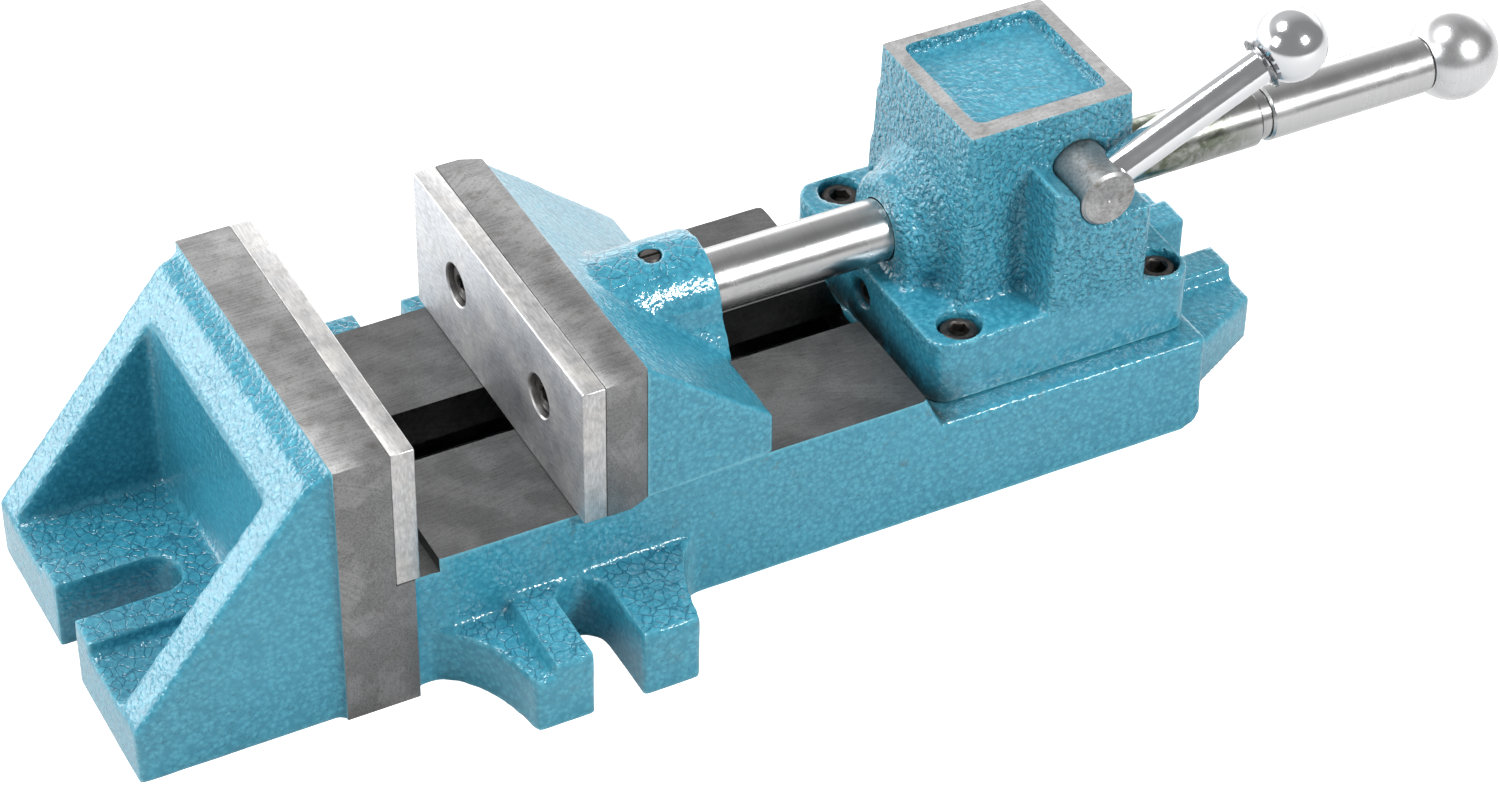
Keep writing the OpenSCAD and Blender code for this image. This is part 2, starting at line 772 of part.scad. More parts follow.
module housing() {
  color(paint) difference() {
    union() {
      along_z(pad_height, flange_top)
        rounded_plate(housing_start, flange_back, flange_width / 2, flange_r);
      tower_body();
      front_boss();
      saddle_body();
    }
    block(cavity_from, cavity_to, -cavity_half, cavity_half, pad_height - over, cavity_top);
    translate([0, rim_extra, 0]) along_z(housing_top - recess_depth, housing_top + over)
      rounded_plate(
        tower_from + rim_width, tower_to - rim_width, tower_half - rim_width, recess_r
      );
    bar_x(bar_hole_r, housing_start, flange_back, 0, bar_height);
    bar_x(bush_r + seat_gap, boss_face + bush_front_recess, cavity_from + over, 0, bar_height);
    bar_x(
      bush_r + seat_gap, cavity_to - over, cavity_to + bush_rear_length, 0, bar_height
    );
    bar_y(shaft_r + run_gap, -flange_width, -cavity_half + over, shaft_x, shaft_z);
    bar_y(journal_r + run_gap, cavity_half - over, journal_end + face_gap, shaft_x, shaft_z);
    bar_y(pin_r + seat_gap, pin_from - face_gap, flange_width, pivot_x, pivot_z);
    bar_x(adjust_d / 2, housing_start - over, cavity_from + over, 0, pivot_z);
    bar_x(
      spring_r + face_gap, cavity_from - spring_pocket, cavity_from + over, 0, spring_z
    );
    for (x = [0, 1], y = [-1, 1]) {
      bar_z(
        counterbore_d / 2, screw_floor, flange_top + over, housing_screw_x + x * screw_spacing_x,
        y * screw_spacing_y / 2
      );
      bar_z(
        screw_d / 2 + close_gap, pad_height - over, flange_top,
        housing_screw_x + x * screw_spacing_x, y * screw_spacing_y / 2
      );
    }
    for (p = dowel_places) bar_z(
      dowel_d / 2 + seat_gap, pad_height - over, pad_height + dowel_depth, housing_start + p[0],
      p[1]
    );
  }
}
module housing_screws() {
  color(oxide) for (x = [0, 1], y = [-1, 1])
    translate([
      housing_screw_x + x * screw_spacing_x, y * screw_spacing_y / 2, screw_floor + screw_head_h
    ])
      cap_screw(screw_floor - pad_height + base_thread, screw_head_h);
}
module housing_dowels() {
  color(steel) for (p = dowel_places) bar_z(
    dowel_d / 2, pad_height - dowel_depth + close_gap, pad_height + dowel_depth - close_gap,
    housing_start + p[0], p[1]
  );
}
module bush(x0, x1) {
  color(bronze) difference() {
    bar_x(bush_r, x0, x1, 0, bar_height);
    bar_x(bar_d / 2 + run_gap, x0 - over, x1 + over, 0, bar_height);
  }
}
module front_bush() {
  bush(boss_face + bush_front_recess, cavity_from - close_gap);
}
module rear_bush() {
  bush(cavity_to + close_gap, cavity_to + bush_rear_length);
}

module cross_shaft() {
  color(steel) difference() {
    union() {
      difference() {
        bar_y(shaft_r, shaft_face, -cam_half + over, shaft_x, shaft_z);
        difference() {
          bar_y(shaft_r + over, clip_y - run_gap, clip_y + clip_thick + run_gap, shaft_x, shaft_z);
          bar_y(clip_groove_r, clip_y - over, clip_y + clip_thick + over, shaft_x, shaft_z);
        }
      }
      translate([shaft_x, 0, shaft_z]) along_y(-cam_half + clip_thick + over, cam_half)
        polygon(cam_outline);
      bar_y(clip_groove_r - 2, clip_y, cam_half, shaft_x, shaft_z);
      bar_y(journal_r, cam_half - over, journal_end, shaft_x, shaft_z);
    }
    translate([shaft_x, lever_y, shaft_z]) rotate([0, -lever_angle, 0])
      bar_x(lever_d / 2 + seat_gap, -rod_root, shaft_d);
  }
}
module shaft_clip() {
  color(oxide) translate([shaft_x, clip_y, shaft_z]) rotate([-90, 0, 0]) difference() {
    cylinder(r = clip_r, h = clip_thick);
    translate([0, 0, -over]) cylinder(r = clip_groove_r + seat_gap, h = clip_thick + 2 * over);
    translate([0, -clip_groove_r * 0.7, -over])
      cube([clip_r + over, clip_groove_r * 1.4, clip_thick + 2 * over]);
  }
}
// Places a piece along the lever, with +X out along the rod
module on_lever() {
  translate([shaft_x, lever_y, shaft_z]) rotate([0, -lever_angle, 0]) children();
}
module lever_rod() {
  color(bright) on_lever()
    bar_x(lever_d / 2, -rod_root + close_gap, lever_length - ball_bore_depth + 2);
}
module lever_washer() {
  seat = sqrt(pow(lever_ball_d / 2, 2) - pow(lever_d / 2, 2));
  color(steel) on_lever() translate([lever_length - seat - close_gap, 0, 0])
    rotate([0, -90, 0]) difference() {
      cylinder(r = lever_washer_r, h = lever_washer_thick);
      translate([0, 0, -over])
        cylinder(d = lever_d + 2 * seat_gap, h = lever_washer_thick + 2 * over);
    }
}
module lever_ball() {
  color(bright) on_lever() difference() {
    translate([lever_length, 0, 0]) sphere(d = lever_ball_d);
    bar_x(
      lever_d / 2 + seat_gap, lever_length - lever_ball_d, lever_length - ball_bore_depth + 2 + close_gap
    );
  }
}

// The lock plate leans about its pivot, so that its hole bites the bar
module lean_plate() {
  translate([pivot_x, 0, pivot_z]) rotate([0, -plate_lean, 0]) children();
}
module lock_plate() {
  shoulder = bar_height + lock_hole_r + lock_shoulder - pivot_z;
  color(milled) lean_plate() difference() {
    union() {
      block(
        -lock_thick / 2, lock_thick / 2, -lock_half, lock_half, -lock_foot, shoulder
      );
      block(
        -lock_thick / 2, lock_thick / 2, -lock_head_half, lock_head_half, -lock_foot,
        pivot_arm + lock_head
      );
    }
    bar_x(lock_hole_r, -lock_thick, lock_thick, 0, pivot_drop);
    bar_y(pin_r + run_gap, -lock_half - over, lock_half + over);
  }
}
module lock_pivot_pin() {
  color(steel) bar_y(pin_r, pin_from, pin_to, pivot_x, pivot_z);
}
module lock_spring() {
  plate_front = pivot_x - lock_thick / 2 - (spring_z + spring_r - pivot_z) * tan(plate_lean);
  color(steel) difference() {
    bar_x(
      spring_r, cavity_from - spring_pocket + close_gap, plate_front - face_gap, 0, spring_z
    );
    bar_x(spring_r - spring_wire, cavity_from - spring_pocket, plate_front, 0, spring_z);
  }
}
module lock_adjust_screw() {
  length = pivot_x - lock_thick / 2 - face_gap - housing_start - adjust_recess;
  color(bronze) translate([housing_start + adjust_recess, 0, pivot_z]) rotate([0, -90, 0])
    set_screw(length, adjust_d);
}

base();
fixed_jaw_plate();
fixed_plate_screws();
moving_jaw();
moving_jaw_plate();
moving_plate_screws();
jaw_keeper();
keeper_washers();
keeper_screws();
push_bar();
bar_set_screw();
handle_sleeve();
handle_ball();
housing();
housing_screws();
housing_dowels();
front_bush();
rear_bush();
cross_shaft();
shaft_clip();
lever_rod();
lever_washer();
lever_ball();
lock_plate();
lock_pivot_pin();
lock_spring();
lock_adjust_screw();
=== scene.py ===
# %% [markdown]
# # A quick-release drill press vise
# The model arrives as plain solids in their real places. This lesson dresses them: the three
# iron castings get the soft, lumpy skin that a sand mould leaves, the turned and ground pieces
# get their broken edges, and every surface gets a finish built from shader nodes. All lengths
# are metres, so `mm` below turns a workshop size into one.

# %% Load the solids
import math

import bmesh
import bpy
from mathutils import Matrix, Vector, noise


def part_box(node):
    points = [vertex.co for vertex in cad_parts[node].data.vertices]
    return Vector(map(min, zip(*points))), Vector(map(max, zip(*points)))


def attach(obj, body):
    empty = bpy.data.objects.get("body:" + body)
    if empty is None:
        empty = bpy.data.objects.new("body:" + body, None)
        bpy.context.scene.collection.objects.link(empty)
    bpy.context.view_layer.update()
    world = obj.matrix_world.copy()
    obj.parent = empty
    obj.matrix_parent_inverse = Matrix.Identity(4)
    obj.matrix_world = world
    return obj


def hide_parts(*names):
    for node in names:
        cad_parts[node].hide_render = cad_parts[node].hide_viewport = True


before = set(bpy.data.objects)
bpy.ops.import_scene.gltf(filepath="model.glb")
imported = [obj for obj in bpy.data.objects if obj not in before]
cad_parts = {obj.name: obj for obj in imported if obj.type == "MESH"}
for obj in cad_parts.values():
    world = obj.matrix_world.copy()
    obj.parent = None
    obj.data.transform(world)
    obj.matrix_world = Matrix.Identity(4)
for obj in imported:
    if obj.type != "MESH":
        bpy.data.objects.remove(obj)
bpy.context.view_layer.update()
mm = 0.001

# %% [markdown]
# ## Helpers for building shapes
# A real workshop has few processes: a lathe, a mill, a drill and a foundry. Each gets one
# helper here. A lathe is bmesh's spin, run on a half outline. A mill or a drill is a Boolean
# with the Manifold solver, which is exact and quick on closed meshes. A file breaking a sharp
# edge is bevel, run on the edges where two faces meet at a clear angle.

# %% Objects from a bmesh
def solid(name, bm):
    """An object from a bmesh, with its normals outwards."""
    bmesh.ops.recalc_face_normals(bm, faces=bm.faces)
    mesh = bpy.data.meshes.new(name)
    bm.to_mesh(mesh)
    bm.free()
    obj = bpy.data.objects.new(name, mesh)
    bpy.context.scene.collection.objects.link(obj)
    return obj


def take_away(obj):
    """Removes an object and its mesh."""
    mesh = obj.data
    bpy.data.objects.remove(obj)
    bpy.data.meshes.remove(mesh)


def applied(obj):
    """Works an object's modifiers into its mesh."""
    bpy.context.view_layer.update()
    before = obj.data
    shape = obj.evaluated_get(bpy.context.evaluated_depsgraph_get())
    obj.data = bpy.data.meshes.new_from_object(shape)
    obj.data.name = obj.name
    obj.modifiers.clear()
    bpy.data.meshes.remove(before)


# %% Cutting, joining and finishing pieces
def machine(obj, *tools, operation="DIFFERENCE", finish=None):
    """Cuts each tool out of the object, or joins it on. The new faces get a finish by number."""
    for tool in tools:
        for face in tool.data.polygons:
            face.material_index = face.material_index if finish is None else finish
        for material in obj.data.materials:
            tool.data.materials.append(material)
        step = obj.modifiers.new("step", "BOOLEAN")
        step.operation = operation
        step.solver = "MANIFOLD"
        step.object = tool
        applied(obj)
        take_away(tool)
    return obj


def piece(obj, body, slot, finish, *nodes, sharp=35):
    """Shades a finished piece, gives it its finish and lets it ride on its body."""
    if len(obj.data.materials) < 2:
        obj.data.materials.clear()
        obj.data.materials.append(finish)
    obj.data.shade_smooth()
    obj.data.set_sharp_from_angle(angle=math.radians(sharp))
    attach(obj, body)
    if nodes:
        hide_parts(*nodes)
    print(f"{obj.name}: {len(obj.data.polygons)} faces, rides on {body}")


def copy_of(node):
    """A bmesh of a node. Its loose triangles are merged, which bevels and cuts need."""
    bm = bmesh.new()
    bm.from_mesh(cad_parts[node].data)
    bmesh.ops.remove_doubles(bm, verts=bm.verts, dist=2e-6)
    return bm


# %% Lathe and file
def along(direction):
    """A turn that takes the X axis to the given direction."""
    return Vector((1, 0, 0)).rotation_difference(Vector(direction)).to_matrix().to_4x4()


def lathe(name, outline, at=(0, 0, 0), direction=(1, 0, 0), steps=96, closed=False):
    """Spins an outline of (place, radius) pairs, in millimetres, about an axis through at."""
    bm = bmesh.new()
    points = [bm.verts.new((x * mm, r * mm, 0)) for x, r in outline]
    line = [bm.edges.new(pair) for pair in zip(points, points[1:])]
    if closed:
        line.append(bm.edges.new((points[-1], points[0])))
    bmesh.ops.spin(
        bm, geom=points + line, cent=(0, 0, 0), axis=(1, 0, 0), angle=math.tau, steps=steps,
        use_merge=True,
    )
    bmesh.ops.remove_doubles(bm, verts=bm.verts, dist=1e-7)
    place = Matrix.Translation(Vector(at) * mm) @ along(direction)
    bmesh.ops.transform(bm, matrix=place, verts=bm.verts)
    return solid(name, bm)


def round_stock(low, high, radius, chamfer, bore=0):
    """Half outline of a round bar or, with a bore, of a ring, with its edges broken."""
    return [(low, bore), (low, radius - chamfer), (low + chamfer, radius),
            (high - chamfer, radius), (high, radius - chamfer), (high, bore)]


def break_edges(bm, width, segments=2, angle=35, keep=lambda edge: True):
    """Bevels each edge where two faces meet more sharply than the angle."""
    if not width:
        return
    edges = [
        e for e in bm.edges
        if e.is_manifold and e.calc_face_angle(0) > math.radians(angle) and keep(e)
    ]
    bmesh.ops.bevel(
        bm, geom=edges, offset=width * mm, offset_type="OFFSET", segments=segments, profile=0.5,
        affect="EDGES", material=-1, clamp_overlap=True,
    )


# %% Mill and drill
def slab(name, low, high, edge=0.0, segments=2):
    """A block between two corners, in millimetres, with its edges broken."""
    bm = bmesh.new()
    bmesh.ops.create_cube(bm, size=1)
    low, high = Vector(low) * mm, Vector(high) * mm
    size = high - low
    place = Matrix.Translation((low + high) / 2) @ Matrix.Diagonal((*size, 1))
    bmesh.ops.transform(bm, matrix=place, verts=bm.verts)
    break_edges(bm, edge, segments)
    return solid(name, bm)


def drill(at, direction, steps, turns=72):
    """A stepped drill: its tip goes in along the direction, by (depth, radius) steps."""
    outline = [(steps[0][0], 0)] + list(steps) + [(steps[-1][0], 0)]
    return lathe("drill", outline, at, direction, turns)


def corners(node):
    """The corners of a node's box, in millimetres."""
    low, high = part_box(node)
    return low / mm, high / mm


print("shape helpers ready: lathe, file, mill and drill")

# %% [markdown]
# ## Helpers for finishes
# A finish is a small network of nodes. `add` makes a node and fills its sockets by name, where
# a value that is itself a socket becomes a link. `layers` mixes colours over each other, each
# where its own pattern says. All patterns read Object coordinates, which stay fixed to a piece
# whose object sits at the origin, so they move with it. Most patterns are a noise or a cell
# texture squeezed through a ramp, which turns a soft grey pattern into patches, lines or spots,
# and `times` lays several such patterns over each other.

# %% Nodes and places
def new_finish(name):
    """An empty material with one Principled shader."""
    finish = bpy.data.materials.new(name)
    finish.use_nodes = True
    tree = finish.node_tree
    tree.nodes.clear()
    out = tree.nodes.new("ShaderNodeOutputMaterial")
    shader = tree.nodes.new("ShaderNodeBsdfPrincipled")
    tree.links.new(shader.outputs["BSDF"], out.inputs["Surface"])
    return finish, tree, shader


def feed(tree, socket, value):
    """Links a socket to another one, or sets it to a plain value."""
    if isinstance(value, bpy.types.NodeSocket):
        tree.links.new(value, socket)
    else:
        socket.default_value = value


def fill(tree, node, **inputs):
    """Feeds a node's sockets by name, with _ for a space."""
    for key, value in inputs.items():
        feed(tree, node.inputs[key.replace("_", " ")], value)
    return node


def add(tree, kind, settings=None, **inputs):
    """A shader node with its settings made and its named sockets fed."""
    node = tree.nodes.new("ShaderNode" + kind)
    for key, value in (settings or {}).items():
        setattr(node, key, value)
    return fill(tree, node, **inputs)


def places(tree, scale=(1, 1, 1), turn=(0, 0, 0), move=(0, 0, 0)):
    """Object coordinates, stretched, turned and moved."""
    source = add(tree, "TexCoord").outputs["Object"]
    node = add(tree, "Mapping", Vector=source, Location=move, Rotation=turn, Scale=scale)
    return node.outputs["Vector"]


def grey(value):
    """A colour without hue."""
    return (value, value, value, 1)


# %% Sums, mixes and ramps
def maths(tree, kind, a, b=0.0, c=0.0):
    """One step of arithmetic."""
    node = tree.nodes.new("ShaderNodeMath")
    node.operation = kind
    for socket, value in zip(node.inputs, (a, b, c)):
        feed(tree, socket, value)
    return node.outputs[0]


def times(tree, value, *others):
    """The product of several values."""
    for other in others:
        value = maths(tree, "MULTIPLY", value, other)
    return value


def mix(tree, share, a, b):
    """Colour a where the share is 0, colour b where it is 1."""
    node = tree.nodes.new("ShaderNodeMix")
    node.data_type = "RGBA"
    for socket, value in zip((node.inputs[0], node.inputs[6], node.inputs[7]), (share, a, b)):
        feed(tree, socket, value)
    return node.outputs[2]


def layers(tree, colour, *coats):
    """A colour with coats over it, each given as (share, colour)."""
    for share, coat in coats:
        colour = mix(tree, share, colour, coat)
    return colour


def ramp(tree, value, low, high, start=0.0, end=1.0):
    """Carries a value from start to end while it goes from low to high."""
    node = add(tree, "MapRange", {"clamp": True}, Value=value, From_Min=low, From_Max=high,
               To_Min=start, To_Max=end)
    return node.outputs[0]


# %% Patterns and surface
def specks(tree, vector, scale, detail=2.0, roughness=0.5, warp=0.0):
    """A noise from 0 to 1; the scale counts its spots in a metre."""
    node = add(tree, "TexNoise", Vector=vector, Scale=scale, Detail=detail, Roughness=roughness,
               Distortion=warp)
    return node.outputs[0]


def cells(tree, vector, scale, feature="F1"):
    """The distance from the middle of a cell, or from its edge."""
    node = add(tree, "TexVoronoi", {"feature": feature}, Vector=vector, Scale=scale)
    return node.outputs["Distance"]


def bump(tree, height, depth, under=None, strength=1.0):
    """A normal from a height; the depth is in metres, and under is the bump below it."""
    node = add(tree, "Bump", Height=height, Distance=depth, Strength=strength)
    if under is not None:
        tree.links.new(under, node.inputs["Normal"])
    return node.outputs["Normal"]


def part_of(tree, vector, axis):
    """One coordinate of a place or a direction."""
    return add(tree, "SeparateXYZ", Vector=vector).outputs[axis]


def facing(tree, axis):
    """How far a face looks along an axis, from -1 to 1."""
    return part_of(tree, add(tree, "NewGeometry").outputs["Normal"], axis)


def shade_in_corners(tree, reach, inside=False):
    """1 in the open and less in a corner, or on an outer edge if inside is true."""
    node = add(tree, "AmbientOcclusion", {"samples": 6, "only_local": True, "inside": inside},
               Distance=reach * mm)
    return node.outputs["AO"]


print("finish helpers ready")


# %% [markdown]
# ## The enamel
# The castings are sprayed with a teal hammer enamel: a glossy paint whose silicone makes it
# draw up into small cells, with thin darker valleys between them. A noise and a cell pattern
# make the height; the same patterns tint the colour, because the paint is thinner on the
# crowns and pools in the valleys. The creases are darkened further and the colour deepens in
# corners, both painted shade; outer edges are lighter, partly thinner paint and partly a
# painted highlight. It wrinkles most on the tower and a little in corners, and lies nearly
# flat on the sides of the foot. On level areas it is thick enough to run into wide crazed
# plates, so those get a second, larger net of dark lines. The gloss is a clear coat.

# %% Enamel patterns
def pulled_places(tree, here):
    """Places pulled about by a soft noise, so that no cell has a straight edge."""
    soft = add(tree, "TexNoise", Vector=here, Scale=520.0, Detail=1.0).outputs["Color"]
    shift = add(tree, "VectorMath", {"operation": "SCALE"}, Scale=0.0012)
    tree.links.new(soft, shift.inputs[0])
    pulled = add(tree, "VectorMath", {"operation": "ADD"})
    tree.links.new(here, pulled.inputs[0])
    tree.links.new(shift.outputs[0], pulled.inputs[1])
    return pulled.outputs[0]


def enamel_zones(tree, here):
    """Where the paint lies level, where the housing begins, and where its tower stands."""
    level = ramp(tree, facing(tree, "Z"), 0.75, 0.95)
    rear = ramp(tree, part_of(tree, here, "X"), 0.140, 0.152)
    tower = times(tree, rear, ramp(tree, part_of(tree, here, "Z"), 0.040, 0.052))
    tower = times(tree, tower, ramp(tree, level, 0, 1, 1, 0.2))
    return level, rear, tower


def oily_soil(tree, here):
    """Black oil at the foot of the housing's front face, where chips and oil collect."""
    along_x, along_z = part_of(tree, here, "X"), part_of(tree, here, "Z")
    return times(
        tree,
        ramp(tree, along_x, 0.151, 0.164, 1, 0), ramp(tree, along_z, 0.031, 0.042, 1, 0),
        ramp(tree, along_x, 0.148, 0.150), ramp(tree, along_z, 0.0285, 0.0295),
        ramp(tree, specks(tree, here, 90, 4, 0.7), 0.30, 0.50),
    )


# %% Enamel
crown, valley = (0.062, 0.318, 0.426, 1), (0.026, 0.205, 0.296, 1)
cell_scale, wave_scale, net_scale = 640, 720, 300


def enamel_finish():
    """The hammer enamel: colour, gloss and wrinkled skin."""
    finish, tree, shader = new_finish("hammer_enamel")
    here = places(tree)
    pulled = pulled_places(tree, here)
    level, rear, tower = enamel_zones(tree, here)
    waves = specks(tree, pulled, wave_scale, 1.6, 0.5)
    crowns = cells(tree, pulled, cell_scale)
    edges = cells(tree, pulled, cell_scale, "DISTANCE_TO_EDGE")
    net = cells(tree, pulled, net_scale, "DISTANCE_TO_EDGE")
    lines = times(tree, ramp(tree, net, 0.01, 0.06, 1, 0), level, ramp(tree, rear, 0, 1, 1, 0.25))
    corner = shade_in_corners(tree, 9)
    tight_shade = shade_in_corners(tree, 1.8)
    rim = shade_in_corners(tree, 1.3, inside=True)
    wrinkled = maths(tree, "MAXIMUM", ramp(tree, corner, 0.60, 0.97, 1.0, 0.0),
                     ramp(tree, specks(tree, here, 26, 2), 0.46, 0.62))
    wrinkled = maths(tree, "MAXIMUM", ramp(tree, wrinkled, 0, 1, 0.20, 0.36), tower)
    creases = times(tree, ramp(tree, edges, 0.02, 0.12, 1, 0), ramp(tree, waves, 0.54, 0.44),
                    ramp(tree, wrinkled, 0.36, 1.0))
    pits = ramp(tree, specks(tree, pulled, 1500, 2, 0.5), 0.60, 0.68)
    patchy = specks(tree, here, 34, 3)
    dirt = times(tree, ramp(tree, specks(tree, here, 130, 4, 0.7), 0.60, 0.72),
                 ramp(tree, specks(tree, here, 17, 1), 0.52, 0.66))

    colour = layers(
        tree, crown,
        (ramp(tree, crowns, 0.20, 0.72), valley),
        (ramp(tree, waves, 0.36, 0.56, 0.40, 0), (0.018, 0.175, 0.265, 1)),
        (times(tree, pits, 0.55), (0.010, 0.090, 0.145, 1)),
        (ramp(tree, patchy, 0.35, 0.65, 0, 0.2), (0.055, 0.34, 0.46, 1)),
        # painted shade: the colour darkens in wide and in tight corners
        (ramp(tree, corner, 0.25, 0.95, 0.30, 0), (0.001, 0.09, 0.18, 1)),
        (ramp(tree, tight_shade, 0.35, 0.9, 0.15, 0), (0.001, 0.05, 0.10, 1)),
        (times(tree, lines, 0.65), (0.002, 0.060, 0.12, 1)),
        # lighter outer edges: partly thinner paint, partly a painted highlight
        (ramp(tree, rim, 0.55, 0.95, 0.42, 0), (0.22, 0.60, 0.70, 1)),
        (times(tree, dirt, 0.5), (0.09, 0.075, 0.04, 1)),
        (times(tree, oily_soil(tree, here), 0.9), (0.022, 0.020, 0.016, 1)),
        # painted shade: the creases between cells are darkened
        (times(tree, creases, 0.38), (0.010, 0.100, 0.160, 1)),
    )
    grit = specks(tree, here, 2600, 2)
    height = maths(tree, "SUBTRACT", waves, times(tree, crowns, 0.45))
    skin = bump(tree, height, 0.00080, strength=wrinkled)
    skin = bump(tree, creases, -0.00012, skin)
    skin = bump(tree, lines, -0.00012, skin, 0.7)
    fill(tree, shader, Base_Color=colour, Roughness=ramp(tree, grit, 0.3, 0.7, 0.26, 0.40),
         Specular_IOR_Level=0.14, Coat_Weight=1.0, Coat_Roughness=0.07, Normal=skin,
         Coat_Normal=skin)
    return finish


enamel = enamel_finish()
print("enamel:", len(enamel.node_tree.nodes), "nodes")

# %% [markdown]
# ## Machined iron and steel
# A milled face shows the arcs of the cutter, evenly spaced, plus grey graphite mottling and
# light rubbing. `milled_finish` reads a noise along the distance from a centre, which draws
# rings. The centre lies off the piece, so that only an arc of each ring crosses it. Arcs alone
# would look like a drawing, so a patchy noise breaks them up, and clouds, hairlines and spots
# lie over them.

# %% Milled faces
def milled_finish(name, dark, light, centre, pitch, rough, stain=0.35, streak=(900, 900, 900)):
    """A cut face; the arcs' centre and pitch are in millimetres, dark and light are greys."""
    finish, tree, shader = new_finish(name)
    here = places(tree)
    rings = places(tree, move=tuple(-c * mm for c in centre))
    radius = add(tree, "VectorMath", {"operation": "LENGTH"})
    tree.links.new(rings, radius.inputs[0])
    bands = add(tree, "CombineXYZ", X=radius.outputs["Value"]).outputs[0]
    arcs = specks(tree, add(tree, "Mapping", Vector=bands, Scale=(1 / (pitch * mm), 0, 0))
                  .outputs["Vector"], 1, 3, 0.7)
    breaks = ramp(tree, specks(tree, here, 110, 3), 0.36, 0.60, 0.25, 1)
    arcs = times(tree, arcs, breaks)
    hair = specks(tree, places(tree, streak), 1, 5, 0.7)
    cloud = specks(tree, here, 42, 3, 0.5, 0.4)
    fine = specks(tree, here, 1700, 3, 0.6)
    spots = times(tree, ramp(tree, specks(tree, here, 210, 4, 0.7), 0.56, 0.70), stain)
    colour = layers(
        tree, grey(dark),
        (ramp(tree, hair, 0.38, 0.62), grey(light)),
        (ramp(tree, cloud, 0.34, 0.68, 0, 0.35), grey((dark + light) * 0.62)),
        (ramp(tree, arcs, 0.25, 0.55, 0, 0.6), grey(light * 1.35)),
        (ramp(tree, fine, 0.50, 0.68, 0, 0.45), grey(dark * 0.7)),
        (spots, (dark * 0.62, dark * 0.55, dark * 0.45, 1)),
    )
    uneven = maths(tree, "ADD", ramp(tree, cloud, 0.3, 0.7, rough - 0.03, rough + 0.04),
                   times(tree, fine, 0.05))
    marks = bump(tree, hair, 0.00002, bump(tree, arcs, 0.00003))
    fill(tree, shader, Base_Color=colour, Metallic=1, Roughness=uneven,
         Normal=bump(tree, fine, 0.000012, marks))
    return finish


way_milled = milled_finish("milled_ways", 0.095, 0.150, (60, -180, 39), 0.9, 0.42,
                           streak=(110, 3400, 900), stain=0.2)
block_milled = milled_finish("milled_block", 0.145, 0.27, (-14, 130, 80), 1.1, 0.42,
                             streak=(140, 3200, 900), stain=0.45)
side_milled = milled_finish("milled_side", 0.155, 0.27, (-50, -50, 10), 0.8, 0.44,
                            streak=(3600, 900, 2400), stain=0.25)
rim_milled = milled_finish("milled_rim", 0.32, 0.46, (190, -90, 99), 0.9, 0.46,
                           streak=(500, 1700, 900), stain=0.5)
under_milled = milled_finish("milled_underside", 0.26, 0.40, (80, 260, 0), 1.0, 0.45)
# A darker copy of the milled iron for slots, bores, hollows and hidden parts: painted shade.
shaded_inner_milled = milled_finish("milled_inside_shaded", 0.06, 0.12, (80, 0, 200), 0.9, 0.42)
print("milled finishes ready")

# %% [markdown]
# ## Ground and turned steel
# A grinding wheel leaves short straight hairlines, drawn here by a noise stretched along one
# axis, with cloudy patches where the plate was rubbed. A lathe leaves fine rings about the
# turning axis, which is X for the bar, and so the noise is squeezed along X. The same turned
# finish, with other numbers, serves for ground bar, satin aluminium and chrome plate. The bar
# carries an oily film behind the housing, where the lock's grease gathers.

# %% Ground steel
def ground_finish(name, dark, light, streak, rough, tint, mottle):
    """A ground face between two greys, both tinted; streak stretches its hairlines."""
    finish, tree, shader = new_finish(name)
    here = places(tree)
    hair = specks(tree, places(tree, streak), 1, 5, 0.62)
    blotch = specks(tree, here, 85, 4, 0.62, 0.3)
    fleck = specks(tree, here, 520, 3, 0.6)
    low = tuple(dark * t for t in tint) + (1,)
    high = tuple(light * t for t in tint) + (1,)
    dull = specks(tree, here, 240, 5, 0.7)
    rubbed = (light * 1.08, light * 1.04, light * 0.96, 1)
    colour = layers(
        tree, low,
        (ramp(tree, hair, 0.36, 0.64), high),
        (ramp(tree, blotch, 0.42, 0.68, 0, mottle), rubbed),
        (ramp(tree, dull, 0.50, 0.66, 0, mottle), grey(dark * 0.75)),
        (ramp(tree, fleck, 0.60, 0.72, 0, 0.35), grey(dark * 0.7)),
    )
    fill(tree, shader, Base_Color=colour, Metallic=1, Normal=bump(tree, hair, 0.000016),
         Roughness=ramp(tree, blotch, 0.3, 0.7, rough - 0.05, rough + 0.07))
    return finish


plate_ground = ground_finish("ground_plate", 0.44, 0.66, (2200, 260, 420), 0.38,
                             (1.0, 0.99, 1.0), 0.5)
jaw_ground = ground_finish("ground_jaw_face", 0.50, 0.80, (700, 330, 2600), 0.55,
                           (0.96, 0.99, 1.04), 0.35)
print("ground finishes ready")


# %% Turned, polished and plated metal
def darker(colour, share):
    """A colour brought down to a share of its light."""
    return tuple(c * share for c in colour[:3]) + (1,)


